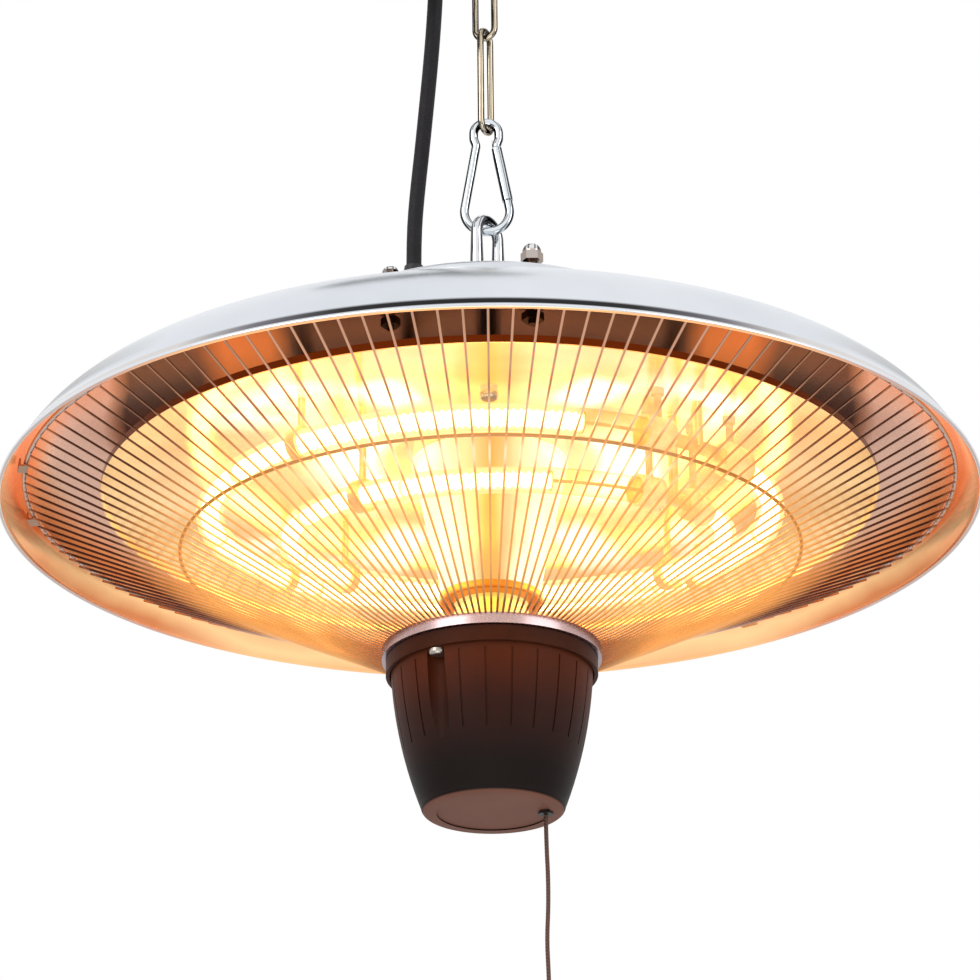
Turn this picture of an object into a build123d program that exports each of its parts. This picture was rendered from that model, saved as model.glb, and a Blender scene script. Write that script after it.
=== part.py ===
from build123d import *
import math
import os

# Hanging patio heater. Millimetres, +Z up, origin on the ceiling at the middle of the fixing plate.
# Heights of the heater itself are counted from its rim, the lowest edge of the shade.

# Clearances shared by all pieces
touch_gap = 0.15
seat_gap = 0.3
running_gap = 0.06
cut_over = 2.0
cord_corner_share = 0.45

# Ceiling plate and hook
plate_r = 38.0
plate_t = 2.5
plate_pan_r = 15.0
plate_pan_depth = 9.0
plate_pcd = 58.0
plate_hole_r = 2.25
plate_hole_count = 4
hook_wire_r = 2.5
hook_bend_r = 9.5
hook_drop = 61.0
hook_collar_r = 6.0
hook_collar_h = 3.0
hook_mouth_deg = 245.0
hook_nut_r = 5.0
hook_nut_h = 4.0

# Chain
link_wire_r = 1.5
link_pitch = 50.4
link_half_width = 4.6
link_turn_deg = (62.0, -22.0, 90.0)
link_slack = (0.3, 0.4, 0.3)
snap_slack = 1.0
eye_slack = 0.7

# Snap hook
snap_wire_r = 2.0
snap_length = 53.9
snap_big_r = 10.0
snap_small_r = 5.6
snap_waist_half = 4.5
snap_waist_drop = 9.6
snap_gate_r = 2.4
snap_gate_pin_r = 0.7
snap_gate_top_drop = 15.0
snap_gate_bottom_rise = 14.8
snap_gate_slot = 1.7
snap_spring_r = 1.0
snap_spring_length = 9.0
snap_waist_shares = (1.19, 0.86)
snap_corner_share = 0.98
snap_lean_share = 1.19
snap_waist_bend_shares = (0.3667, 1.54)
snap_tongue_share = 0.75
snap_spring_share = 0.9

# Eye nut on top of the heater
eye_wire_r = 2.5
eye_bend_r = 7.6
eye_leg_r = 3.3
eye_base_r = 12.0
eye_base_h = 8.0
eye_turn_deg = 52.0
eye_bore_share = 0.8
eye_spine_share = 0.7
eye_above_rim = 138.55

# Shade
rim_r = 212.5
shade_t = 1.0
bead_r = 1.0
shoulder_foot_inset = 3.5
shoulder_foot_z = 5.4
shoulder_mid_inset = 14.5
shoulder_mid_z = 20.4
shoulder_top_inset = 30.5
shoulder_top_z = 31.6
shoulder_foot_r = rim_r - shoulder_foot_inset
shoulder_mid_r = rim_r - shoulder_mid_inset
shoulder_top_r = rim_r - shoulder_top_inset
crown_mid_r = 80.0
crown_top_z = 73.0

# Top cap
cap_r = 79.0
cap_t = 1.0
cap_ball_r = 185.0
cap_edge_z = 82.0
cap_edge_fillet = 4.0
acorn_at = (19.0, -60.0)
acorn_flat_r = 4.2
acorn_h = 8.5
acorn_count = 3
acorn_hex_share = 0.45
acorn_dome_share = 0.98
acorn_bore_share = 0.7
acorn_stud_share = 0.65
stud_r = 2.0
stud_end_share = 1.8
head_round_share = 0.6
cap_screw_at = (-41.5, -60.0)
cap_screw_head_r = 3.6
cap_screw_head_h = 2.6
cap_screw_r = 1.6
cap_screw_count = 3
cap_screw_nut_r = 3.68

# Spine tube through the middle
spine_r = 5.0
spine_bore_r = 3.4
nut_flat_r = 8.5
nut_h = 5.0
thin_nut_h = 3.5
cap_spacer_r = 8.5

# Reflector
reflector_inset = 44.5
reflector_r = rim_r - reflector_inset
reflector_t = 0.8
reflector_edge_z = 5.0
reflector_lip = 2.4
reflector_mid_r = 84.0
reflector_mid_z = 19.5
reflector_flat_r = 40.0
reflector_flat_z = 22.5
reflector_screw_r = 84.0
reflector_screw_azimuth = -90.0
reflector_screw_count = 3
spacer_r = 3.5
spacer_bore_r = 2.1
spacer_lift_share = 0.2
pan_head_r = 4.0
pan_head_h = 2.6

# Reflecting column between reflector and switch housing
column_top_r = 34.0
column_foot_r = 20.5
column_foot_z = -40.0
column_t = 0.7
column_ring_r = 22.5
column_ring_h = 3.5
column_ring_share = 0.3
column_sleeve_r = 16.0

# Lamps
lamp_tube_r = (6.0, 5.5)
lamp_wall = 1.0
lamp_core_r = (3.9, 3.5)
lamp_ring_r = (121.0, 93.4)
lamp_centre_x = (0.0, 7.0)
lamp_centre_z = (-3.0, -13.5)
lamp_tilt_deg = (2.3, 6.3)
lamp_start_deg = (-31.5, -30.0)
lamp_end_deg = (303.0, 307.0)
lamp_core_end_deg = (288.0, 281.0)
lamp_cap_extra = 1.4
lamp_cap_deg = (6.0, 7.0)
lamp_support_count = 8
lamp_support_deg = 0.6
lamp_clip_deg = (40.0, 140.0, 230.0)
lamp_clip_wire = 1.6
lamp_clip_width = 5.0
strap_width = 5.4
strap_t = 2.4
strap_post_r = 2.2
lead_r = 1.6
lead_inner_r = 11.8
lead_inner_deg = (-100.0, 100.0, -135.0, -160.0)
lead_run_z = 33.0
lead_bend_r = 6.0
grommet_wall = 1.2

# Guard
guard_ring_inset = 11.7
guard_ring_r = rim_r - guard_ring_inset
guard_ring_z = 9.0
guard_ring_wire_r = 1.1
guard_wire_r = 0.55
guard_wire_count = 124
guard_mid_r = 134.3
guard_mid_z = -22.0
guard_mid_wire_r = 0.8
guard_knee_r = 57.0
guard_knee_z = -61.5
guard_collar_r = 47.0
guard_foot_fall = 0.3
guard_collar_t = 1.4
guard_collar_top = -64.2
guard_collar_bottom = -69.0
guard_flange_r = 34.0
guard_clip_deg = (53.5, 70.5)
guard_clip_count = 3
guard_clip_width = 8.0
guard_clip_t = 0.8
guard_clip_lip_h = 2.7
guard_clip_reach = 3.1
guard_clip_reach_r = guard_ring_r + guard_clip_reach

# Switch housing
lid_r = 45.3
lid_t = 2.0
lid_top = -69.2
lid_bottom = -76.0
lid_wall = 1.6
housing_wall = 2.0
housing_shoulder_r = 43.0
housing_shoulder_z = -77.0
housing_mid_r = 38.2
housing_mid_z = -109.6
housing_foot_r = 30.6
housing_foot_z = -134.6
housing_profile = (
    (housing_shoulder_r, housing_shoulder_z),
    (housing_mid_r, housing_mid_z),
    (housing_foot_r, housing_foot_z),
)
housing_bottom = -137.2
housing_floor_r = 28.4
housing_label_r = 24.0
housing_label_depth = 0.6
channel_r = 4.5
channel_head_gap = 0.9
channel_at_r = 41.2
channel_azimuth = -123.5
channel_count = 2
channel_bottom = -112.0
rib_groove_count = 24
rib_groove_half = 0.45
rib_groove_depth = 0.5
rib_groove_bottom = -111.0

# Pull switch inside the housing
cord_x = 22.0
cord_r = 0.95
drum_r = 8.0
drum_w = 6.0
drum_flange_r = 9.6
drum_z = -100.0
axle_r = 2.0
switch_size = (24.0, 26.0, 30.0)
switch_at = (-10.5, 0.0, -103.0)
switch_corner_r = 1.5
bracket_t = 1.5
terminal_size = (20.0, 30.0, 6.0)
terminal_x = -8.0
bush_r = 3.2
bush_bore_r = 1.15
bush_flange_t = 1.0
bush_neck_share = 0.8
bush_lip = 1.0
knob_r = 7.0
knob_h = 26.0
knob_shares = ((0.45, 0.0), (0.62, 0.3), (1.0, 0.72), (0.8, 0.93), (0.3, 1.0))

# Mains lead
lead_cable_r = 3.5
inner_lead_r = 2.6
inner_lead_deg = 143.0
inner_lead_rise = 26.0
inner_lead_drop = 36.0
gland_at = (-33.0, 25.0)
gland_h = 9.0
gland_nut_r = 9.5
gland_sleeve_r = 5.4
gland_sleeve_h = 22.0
gland_sleeve_shares = (1.25, 1.22)
coil_outer_r = 51.0
coil_pitch = 7.6
coil_turns_in_layer = 3
coil_height = 312.0
tie_w = 12.0
tie_t = 1.5
tie_coil_gap = 1.6
tie_side_gap = 0.6
tie_link_gap = 0.7
tie_corner_share = 0.7
plug_r = 18.5
plug_neck_r = 8.0
plug_grip_r = 13.5
plug_flange_h = 15.0
plug_grip_h = 26.0
plug_neck_h = 14.0
plug_pin_r = 2.4
plug_pin_gap = 19.0
plug_pin_length = 19.0
plug_grip_shares = (0.35, 0.9)
plug_tail_share = 1.3

# Heights from the ceiling down
hook_z = -hook_drop
link_tops = {}
link_tops[3] = hook_z + hook_wire_r + link_wire_r + link_slack[2]
link_tops[2] = link_tops[3] - link_pitch + 2 * link_wire_r + link_slack[1]
link_tops[1] = link_tops[2] - link_pitch + 2 * link_wire_r + link_slack[0]
snap_top = link_tops[1] - link_pitch + link_wire_r + snap_wire_r + snap_slack
snap_bottom = snap_top - snap_length
eye_top = snap_bottom + snap_wire_r + eye_wire_r + eye_slack
rim_z = eye_top - eye_above_rim


nodes = {}
standing = (Align.CENTER, Align.CENTER, Align.MIN)
hanging = (Align.CENTER, Align.CENTER, Align.MAX)


def circle_through(a, b, c):
    """Centre and radius of the circle through three points of an outline."""
    ax, az = a
    bx, bz = b
    cx, cz = c
    d = 2 * (ax * (bz - cz) + bx * (cz - az) + cx * (az - bz))
    ux = ((ax**2 + az**2) * (bz - cz) + (bx**2 + bz**2) * (cz - az) + (cx**2 + cz**2) * (az - bz)) / d
    uz = ((ax**2 + az**2) * (cx - bx) + (bx**2 + bz**2) * (ax - cx) + (cx**2 + cz**2) * (bx - ax)) / d
    return (ux, uz), math.hypot(ax - ux, az - uz)


def polar(radius, degrees):
    """A point on a circle round the vertical axis."""
    turn = math.radians(degrees)
    return radius * math.cos(turn), radius * math.sin(turn)


def turned(face):
    """A face drawn in the XZ plane, turned once round the vertical axis."""
    return revolve(face, Axis.Z)


def outline(*points):
    """A flat face in the XZ plane from straight runs between points."""
    return make_face(Plane.XZ * Polyline(*points, close=True))


def washer(outer, inner, low, high, at=(0, 0)):
    """An upright ring or tube."""
    body = Cylinder(outer, high - low, align=standing)
    if inner > 0:
        body -= Cylinder(inner, high - low, align=standing)
    return Pos(at[0], at[1], low) * body


def hexagon(across_r, low, high, bore, at=(0, 0)):
    """An upright hexagon nut, its radius given to the flats."""
    blank = extrude(RegularPolygon(across_r, 6, major_radius=False), high - low)
    hole = Cylinder(bore, high - low, align=standing)
    return Pos(at[0], at[1], low) * (blank - hole)


def wire_along(path, radius):
    """A round wire along a path."""
    return sweep(Plane(origin=path @ 0, z_dir=path % 0) * Circle(radius), path=path)


def ring_arc(ring_r, section, start, end):
    """Part of a ring round the vertical axis, from a section drawn about the ring's centreline."""
    return Rot(0, 0, start) * revolve(Plane.XZ * Pos(ring_r, 0) * section, Axis.Z, end - start)


def single(shape):
    """The one solid of a shape."""
    solids = shape.solids()
    if len(solids) != 1:
        print("expected one solid, found", len(solids))
    return solids[0]


def group(*shapes):
    """Separate solids that share one node."""
    return Compound(children=[solid for shape in shapes for solid in shape.solids()])


def around(count, shape):
    """Copies of a shape spread evenly round the vertical axis."""
    return [Rot(0, 0, k * 360 / count) * shape for k in range(count)]


# Ceiling plate with a pressed pan that hides the hook's nut
def ceiling_plate():
    floor = plate_pan_depth + plate_t
    body = turned(outline(
        (plate_pan_r - plate_t, 0),
        (plate_r, 0),
        (plate_r, -plate_t),
        (plate_pan_r, -plate_t),
        (plate_pan_r, -floor),
        (hook_wire_r + running_gap, -floor),
        (hook_wire_r + running_gap, -plate_pan_depth),
        (plate_pan_r - plate_t, -plate_pan_depth),
    ))
    for k in range(plate_hole_count):
        at = polar(plate_pcd / 2, 360 / plate_hole_count * (k + 0.5))
        body -= Pos(at[0], at[1], 0) * Cylinder(plate_hole_r, 2 * (plate_t + cut_over))
    return single(body)


def ceiling_hook():
    low = hook_z
    centre = low + hook_bend_r
    lean = math.radians(60)
    join_x = -hook_bend_r * math.cos(lean)
    join_z = centre + hook_bend_r * math.sin(lean)
    start = join_z + hook_bend_r * math.sin(lean)
    shank_top = -plate_pan_depth + hook_nut_h + plate_t / 2
    end = math.radians(120 + hook_mouth_deg)
    half = math.radians(120 + hook_mouth_deg / 2)
    shank = Line((0, 0, shank_top), (0, 0, start))
    bend = TangentArc((0, 0, start), (join_x, 0, join_z), tangent=(0, 0, -1))
    bow = ThreePointArc(
        (join_x, 0, join_z),
        (hook_bend_r * math.cos(half), 0, centre + hook_bend_r * math.sin(half)),
        (hook_bend_r * math.cos(end), 0, centre + hook_bend_r * math.sin(end)),
    )
    wire = wire_along(Wire([shank, bend, bow]), hook_wire_r)
    tip = Pos(hook_bend_r * math.cos(end), 0, centre + hook_bend_r * math.sin(end)) * Sphere(hook_wire_r)
    floor = -plate_pan_depth - plate_t
    collar = washer(hook_collar_r, 0, floor - seat_gap - hook_collar_h, floor - seat_gap)
    return single(wire + tip + collar)


def hook_nut():
    low = touch_gap - plate_pan_depth
    return hexagon(hook_nut_r, low, low + hook_nut_h, hook_wire_r + running_gap)


# A long link, drawn upright in the XZ plane and turned about the vertical
def chain_link(number):
    top = link_tops[number]
    low = top - link_pitch
    w = link_half_width
    middle = (top + low) / 2
    upper = Wire([
        Line((-w, 0, middle), (-w, 0, top - w)),
        ThreePointArc((-w, 0, top - w), (0, 0, top), (w, 0, top - w)),
        Line((w, 0, top - w), (w, 0, middle)),
    ])
    half = wire_along(upper, link_wire_r)
    other = Pos(0, 0, middle) * Rot(180, 0, 0) * Pos(0, 0, -middle) * half
    return single(Rot(0, 0, link_turn_deg[number - 1]) * (half + other))


# Snap hook: the bent body, its gate, the gate's pin and the spring in the gate
snap_side_drop = snap_length - snap_gate_bottom_rise
snap_lean_x = snap_big_r * snap_lean_share
snap_waist_low = snap_waist_drop * snap_waist_shares[0]
snap_waist_high = snap_waist_drop * snap_waist_shares[1]
snap_pin_at = (snap_waist_half + 0.2 * snap_wire_r, snap_top - snap_gate_top_drop)


def snap_side_x(drop):
    """Half width of the hook's straight side, so far below its top."""
    share = (drop - snap_waist_low) / (snap_length - snap_waist_low)
    return snap_waist_half + share * (snap_lean_x - snap_waist_half)


snap_nose_at = (snap_side_x(snap_side_drop), snap_bottom + snap_gate_bottom_rise)
snap_gate_run = (snap_nose_at[0] - snap_pin_at[0], snap_pin_at[1] - snap_nose_at[1])
snap_gate_lean = math.degrees(math.atan2(*snap_gate_run))
snap_gate_length = math.hypot(*snap_gate_run)
snap_tongue_t = snap_gate_slot - 2 * touch_gap


def gate_frame(shape):
    """Moves a shape drawn hanging from the pin at the origin to the gate's place."""
    return Pos(snap_pin_at[0], 0, snap_pin_at[1]) * Rot(0, -snap_gate_lean, 0) * shape


def snap_body():
    end = snap_gate_top_drop - snap_gate_r - seat_gap
    points = [
        (snap_side_x(end) * snap_corner_share, 0, snap_top - end),
        (snap_waist_half, 0, snap_top - snap_waist_low),
        (snap_small_r, 0, snap_top - snap_waist_high),
        (snap_small_r, 0, snap_top),
        (-snap_small_r, 0, snap_top),
        (-snap_small_r, 0, snap_top - snap_waist_high),
        (-snap_waist_half, 0, snap_top - snap_waist_low),
        (-snap_lean_x, 0, snap_bottom),
        (snap_lean_x, 0, snap_bottom),
        (snap_nose_at[0], 0, snap_nose_at[1]),
    ]
    small = snap_small_r * snap_corner_share
    big = snap_big_r * snap_corner_share
    neck = snap_wire_r * 2
    radii = [snap_wire_r * snap_waist_bend_shares[0], neck, small, small, neck]
    radii += [snap_wire_r * snap_waist_bend_shares[1], big, big]
    wire = wire_along(FilletPolyline(*points, radius=radii), snap_wire_r)
    tongue = Box(2 * snap_wire_r * snap_tongue_share, snap_tongue_t, snap_gate_r * 2 + snap_wire_r)
    tongue = Pos(0, 0, snap_gate_r + snap_wire_r / 4) * tongue
    tongue += Rot(90, 0, 0) * Cylinder(snap_wire_r * snap_tongue_share, snap_tongue_t)
    hole = Rot(90, 0, 0) * Cylinder(snap_gate_pin_r + running_gap, 2 * snap_wire_r + cut_over)
    return single(wire + gate_frame(tongue) - gate_frame(hole))


def snap_gate():
    top = snap_gate_r * snap_tongue_share
    length = snap_gate_length - seat_gap
    bar = Pos(0, 0, top) * Cylinder(snap_gate_r, length + top, align=hanging)
    slot = Pos(0, 0, top) * Box(
        4 * snap_gate_r, snap_gate_slot, snap_gate_r * 2 + top, align=hanging
    )
    bore = Pos(0, 0, -snap_gate_r * 2) * Cylinder(
        snap_spring_r + touch_gap, snap_spring_length + touch_gap, align=hanging
    )
    hole = Rot(90, 0, 0) * Cylinder(snap_gate_pin_r + running_gap, 4 * snap_gate_r)
    return single(gate_frame(bar - slot - bore - hole))


def snap_pin():
    return single(gate_frame(Rot(90, 0, 0) * Cylinder(snap_gate_pin_r, 2 * snap_gate_r)))


def snap_spring():
    spring = Cylinder(snap_spring_r, snap_spring_length * snap_spring_share, align=hanging)
    return single(gate_frame(Pos(0, 0, -snap_gate_r * 2 - touch_gap) * spring))


nodes["ceiling_plate"] = ceiling_plate()
nodes["ceiling_hook"] = ceiling_hook()
nodes["hook_nut"] = hook_nut()
for number in (3, 2, 1):
    nodes[f"chain_link_{number}"] = chain_link(number)
nodes["snap_hook_body"] = snap_body()
nodes["snap_hook_gate"] = snap_gate()
nodes["gate_pin"] = snap_pin()
nodes["gate_spring"] = snap_spring()


# Heights on the shade, the cap and the reflector
crown_rise = crown_top_z - shoulder_top_z
crown_ball_r = (shoulder_top_r**2 + crown_rise**2) / (2 * crown_rise)
cap_top_z = cap_edge_z + cap_ball_r - math.sqrt(cap_ball_r**2 - cap_r**2)


def ball_z(ball_r, top, radius):
    """Height of a ball's surface, its top given, at a distance from its axis."""
    return top - ball_r + math.sqrt(ball_r**2 - radius**2)


def crown_z(radius):
    """Height of the shade's outer face over its middle part."""
    return ball_z(crown_ball_r, crown_top_z, radius)


def crown_under_z(radius):
    """Height of the shade's inner face over its middle part."""
    return ball_z(crown_ball_r - shade_t, crown_top_z - shade_t, radius)


def cap_z(radius):
    """Height of the cap's outer face."""
    return ball_z(cap_ball_r, cap_top_z, radius)


def cap_under_z(radius):
    """Height of the cap's inner face."""
    return ball_z(cap_ball_r - cap_t, cap_top_z - cap_t, radius)


def reflector_z(radius):
    """Height of the reflector's lower face."""
    if radius <= reflector_flat_r:
        return reflector_flat_z
    if radius <= reflector_mid_r:
        share = (radius - reflector_flat_r) / (reflector_mid_r - reflector_flat_r)
        return reflector_flat_z + share * (reflector_mid_z - reflector_flat_z)
    share = (radius - reflector_mid_r) / (reflector_r - reflector_mid_r)
    return reflector_mid_z + share * (reflector_edge_z + reflector_lip - reflector_mid_z)


def at_rim(shape):
    """Lifts a shape from the rim's own frame to its height below the ceiling."""
    return Pos(0, 0, rim_z) * shape


# Eye nut: an arch on a round base, screwed on the spine
eye_base_low = cap_top_z + seat_gap
eye_base_top = eye_base_low + eye_base_h
eye_arch_z = eye_above_rim - eye_bend_r


def eye_nut():
    arch = Pos(0, 0, eye_arch_z) * revolve(Pos(eye_bend_r, 0) * Circle(eye_wire_r), Axis.Y, -180)
    legs = []
    for side in (-1, 1):
        height = eye_arch_z - eye_base_top + eye_base_h / 4
        leg = Cone(eye_leg_r, eye_wire_r, height, align=standing)
        legs.append(Pos(side * eye_bend_r, 0, eye_base_top - eye_base_h / 4) * leg)
    base = washer(eye_base_r, 0, eye_base_low, eye_base_top)
    base = chamfer(base.edges().filter_by(GeomType.CIRCLE).sort_by(Axis.Z)[-1], eye_base_h / 5)
    bore = Pos(0, 0, eye_base_low - cut_over) * Cylinder(
        spine_r + running_gap, eye_base_h * eye_bore_share + cut_over, align=standing
    )
    return single(Rot(0, 0, eye_turn_deg) * (arch + legs[0] + legs[1] + (base - bore)))


# Top cap: a domed lid with a straight skirt that stands on the shade
def top_cap():
    hole = spine_r + seat_gap
    inner_r = cap_r - cap_t
    seat = crown_z(cap_r) + seat_gap
    half = cap_r / 2
    outer = ThreePointArc((hole, 0, cap_z(hole)), (half, 0, cap_z(half)), (cap_r, 0, cap_z(cap_r)))
    inner = ThreePointArc(
        (inner_r, 0, cap_under_z(inner_r)), (half, 0, cap_under_z(half)), (hole, 0, cap_under_z(hole))
    )
    face = make_face(Wire([
        outer,
        Line((cap_r, 0, cap_z(cap_r)), (cap_r, 0, seat)),
        Line((cap_r, 0, seat), (inner_r, 0, seat)),
        Line((inner_r, 0, seat), (inner_r, 0, cap_under_z(inner_r))),
        inner,
        Line((hole, 0, cap_under_z(hole)), (hole, 0, cap_z(hole))),
    ]))
    body = turned(face)
    rims = [e for e in body.edges().filter_by(GeomType.CIRCLE) if abs(e.radius - cap_r) < touch_gap]
    body = fillet(max(rims, key=lambda e: e.center().Z), cap_edge_fillet)
    tall = cap_top_z - crown_z(cap_r)
    for at, radius in cap_holes():
        body -= Pos(at[0], at[1], cap_edge_z) * Cylinder(radius, 2 * tall)
    return single(body)


acorn_r = math.hypot(*acorn_at)
acorn_turn = math.degrees(math.atan2(acorn_at[1], acorn_at[0]))
cap_screw_ring_r = math.hypot(*cap_screw_at)
cap_screw_turn = math.degrees(math.atan2(cap_screw_at[1], cap_screw_at[0]))
acorn_places = [polar(acorn_r, acorn_turn + k * 360 / acorn_count) for k in range(acorn_count)]
cap_screw_places = [
    polar(cap_screw_ring_r, cap_screw_turn + k * 360 / cap_screw_count) for k in range(cap_screw_count)
]


def cap_holes():
    """Places and radii of the holes through the cap."""
    holes = [(at, stud_r + touch_gap) for at in acorn_places]
    holes += [(at, cap_screw_r + touch_gap) for at in cap_screw_places]
    return holes + [(gland_at, gland_sleeve_r + touch_gap)]


# Shade: spun sheet with a flared lip and its bead, a steep shoulder and a shallow crown
def shade():
    foot = (shoulder_foot_r, shoulder_foot_z)
    middle = (shoulder_mid_r, shoulder_mid_z)
    top = (shoulder_top_r, shoulder_top_z)
    centre, bend = circle_through(foot, middle, top)

    def moved_in(point):
        share = (bend - shade_t) / bend
        return centre[0] + (point[0] - centre[0]) * share, centre[1] + (point[1] - centre[1]) * share

    def lifted(point):
        return point[0], 0, point[1]

    hole = spine_r + seat_gap
    in_foot, in_middle, in_top = moved_in(foot), moved_in(middle), moved_in(top)
    in_edge = (in_top[0], crown_under_z(in_top[0]))
    half = crown_mid_r
    bead_at = (rim_r - bead_r, 0, bead_r)
    lip_in = (rim_r - bead_r - shade_t, 0, bead_r)
    face = make_face(Wire([
        Line(bead_at, lifted(foot)),
        ThreePointArc(lifted(foot), lifted(middle), lifted(top)),
        ThreePointArc(lifted(top), (half, 0, crown_z(half)), (hole, 0, crown_z(hole))),
        Line((hole, 0, crown_z(hole)), (hole, 0, crown_under_z(hole))),
        ThreePointArc((hole, 0, crown_under_z(hole)), (half, 0, crown_under_z(half)), lifted(in_edge)),
        Line(lifted(in_edge), lifted(in_top)),
        ThreePointArc(lifted(in_top), lifted(in_middle), lifted(in_foot)),
        Line(lifted(in_foot), lip_in),
        Line(lip_in, bead_at),
    ]))
    bead = Plane.XZ * Pos(rim_r - bead_r, bead_r) * Circle(bead_r)
    body = turned(face) + revolve(bead, Axis.Z)
    for at, radius in cap_holes():
        body -= Pos(at[0], at[1], crown_mid_r) * Cylinder(radius, crown_mid_r)
    for at in spacer_places:
        body -= Pos(at[0], at[1], crown_mid_r) * Cylinder(spacer_bore_r, crown_mid_r)
    return single(body)


spacer_places = [
    polar(reflector_screw_r, reflector_screw_azimuth + k * 360 / reflector_screw_count)
    for k in range(reflector_screw_count)
]


# Fasteners that hold the cap, the shade and the reflector together
def acorn_nuts():
    inside_r = acorn_r - acorn_flat_r
    low = cap_z(inside_r) + seat_gap
    hex_h = acorn_h * acorn_hex_share
    made = []
    for at in acorn_places:
        hexa = hexagon(acorn_flat_r, low, low + hex_h, stud_r + running_gap, at)
        dome_r = acorn_flat_r * acorn_dome_share
        crown = Pos(at[0], at[1], low + acorn_h - dome_r) * Sphere(dome_r)
        crown += Pos(at[0], at[1], low + hex_h) * Cylinder(
            dome_r, acorn_h - hex_h - dome_r, align=standing
        )
        below = Pos(at[0], at[1], low + hex_h) * Cylinder(
            2 * dome_r, 2 * dome_r, align=hanging
        )
        bore = Pos(at[0], at[1], low) * Cylinder(
            stud_r + running_gap, acorn_h * acorn_bore_share, align=standing
        )
        made.append((crown - below) + hexa - bore)
    return group(*made)


def cap_studs():
    low = crown_under_z(acorn_r) - thin_nut_h * stud_end_share
    high = cap_z(acorn_r - acorn_flat_r) + acorn_h * acorn_stud_share
    return group(*[washer(stud_r, 0, low, high, at) for at in acorn_places])


def cap_stud_nuts():
    high = crown_under_z(acorn_r + acorn_flat_r) - seat_gap
    bore = stud_r + running_gap
    return group(*[hexagon(acorn_flat_r, high - thin_nut_h, high, bore, at) for at in acorn_places])


def cap_screws():
    low = cap_z(cap_screw_ring_r - cap_screw_head_r) + touch_gap
    foot = crown_under_z(cap_screw_ring_r) - thin_nut_h * stud_end_share
    ball = (cap_screw_head_r**2 + cap_screw_head_h**2) / (2 * cap_screw_head_h)
    made = []
    for at in cap_screw_places:
        head = Pos(at[0], at[1], low + cap_screw_head_h - ball) * Sphere(ball)
        head &= washer(cap_screw_head_r, 0, low, low + 2 * ball, at)
        made.append(head + washer(cap_screw_r, 0, foot, low + touch_gap, at))
    return group(*made)


def cap_screw_nuts():
    high = crown_under_z(cap_screw_ring_r + acorn_flat_r) - seat_gap
    bore = cap_screw_r + running_gap
    return group(*[
        hexagon(cap_screw_nut_r, high - thin_nut_h, high, bore, at) for at in cap_screw_places
    ])


# Spine tube with its nuts and the spacer between shade and cap
spine_top = eye_base_low + eye_base_h * eye_spine_share
spine_low = lid_top - lid_t - nut_h - cut_over


def spine_tube():
    return single(washer(spine_r, spine_bore_r, spine_low, spine_top))


def cap_spacer():
    low, high = crown_z(spine_r) + touch_gap, cap_under_z(cap_spacer_r) - touch_gap
    return single(washer(cap_spacer_r, spine_r + seat_gap, low, high))


def shade_nut():
    high = crown_under_z(nut_flat_r) - touch_gap
    return hexagon(nut_flat_r, high - nut_h, high, spine_r + running_gap)


def lid_nuts():
    bore = spine_r + running_gap
    upper = hexagon(nut_flat_r, lid_top + touch_gap, lid_top + touch_gap + thin_nut_h, bore)
    under = lid_top - lid_t - touch_gap
    return group(upper, hexagon(nut_flat_r, under - nut_h, under, bore))


# Reflector: a shallow dish hung under the shade on three spacers
def reflector():
    lip_z = reflector_edge_z + reflector_lip
    hole = reflector_hole_r
    t = reflector_t
    body = turned(outline(
        (hole, reflector_flat_z),
        (reflector_flat_r, reflector_flat_z),
        (reflector_mid_r, reflector_mid_z),
        (reflector_r - t, lip_z),
        (reflector_r - t, reflector_edge_z),
        (reflector_r, reflector_edge_z),
        (reflector_r, lip_z + t),
        (reflector_mid_r, reflector_mid_z + t),
        (reflector_flat_r, reflector_flat_z + t),
        (hole, reflector_flat_z + t),
    ))
    deep = reflector_flat_z
    for at in spacer_places:
        body -= Pos(at[0], at[1], reflector_mid_z) * Cylinder(spacer_bore_r, deep)
    for at, _ in lead_places:
        body -= Pos(at[0], at[1], reflector_mid_z) * Cylinder(grommet_r, deep)
    return single(body)


reflector_hole_r = column_top_r - 2 * column_t
grommet_r = lead_r + grommet_wall


def spacer_span():
    """Lowest and highest level of the spacers between reflector and shade."""
    low = reflector_z(reflector_screw_r) + reflector_t + touch_gap
    return low, crown_under_z(reflector_screw_r + spacer_r)


def reflector_spacers():
    low, high = spacer_span()
    low, high = low + spacer_r * spacer_lift_share, high - touch_gap
    return group(*[washer(spacer_r, spacer_bore_r, low, high, at) for at in spacer_places])


def reflector_screws():
    low = reflector_z(reflector_screw_r + pan_head_r) - touch_gap
    high = crown_z(reflector_screw_r - pan_head_r)
    made = []
    for at in spacer_places:
        head = washer(pan_head_r, 0, low - pan_head_h, low, at)
        head = fillet(head.edges().filter_by(GeomType.CIRCLE).sort_by(Axis.Z)[0], pan_head_h * head_round_share)
        made.append(head + washer(stud_r, 0, low - touch_gap, high, at))
    return group(*made)


# Column that hides the spine and the leads
def column_cone():
    t = column_t
    return single(turned(outline(
        (column_top_r - t, reflector_flat_z - touch_gap),
        (column_top_r, reflector_flat_z - touch_gap),
        (column_foot_r, column_foot_z),
        (column_foot_r - t, column_foot_z),
    )))


def column_ring():
    high = column_foot_z - touch_gap
    body = washer(column_ring_r, column_sleeve_r - column_t, high - column_ring_h, high)
    rim = body.edges().filter_by(GeomType.CIRCLE).sort_by(SortBy.RADIUS)[-1]
    return single(fillet(rim, column_ring_h * column_ring_share))


def column_sleeve():
    high = column_foot_z - column_ring_h - 2 * touch_gap
    return single(washer(column_sleeve_r, column_sleeve_r - column_t, lid_top + touch_gap, high))


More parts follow.
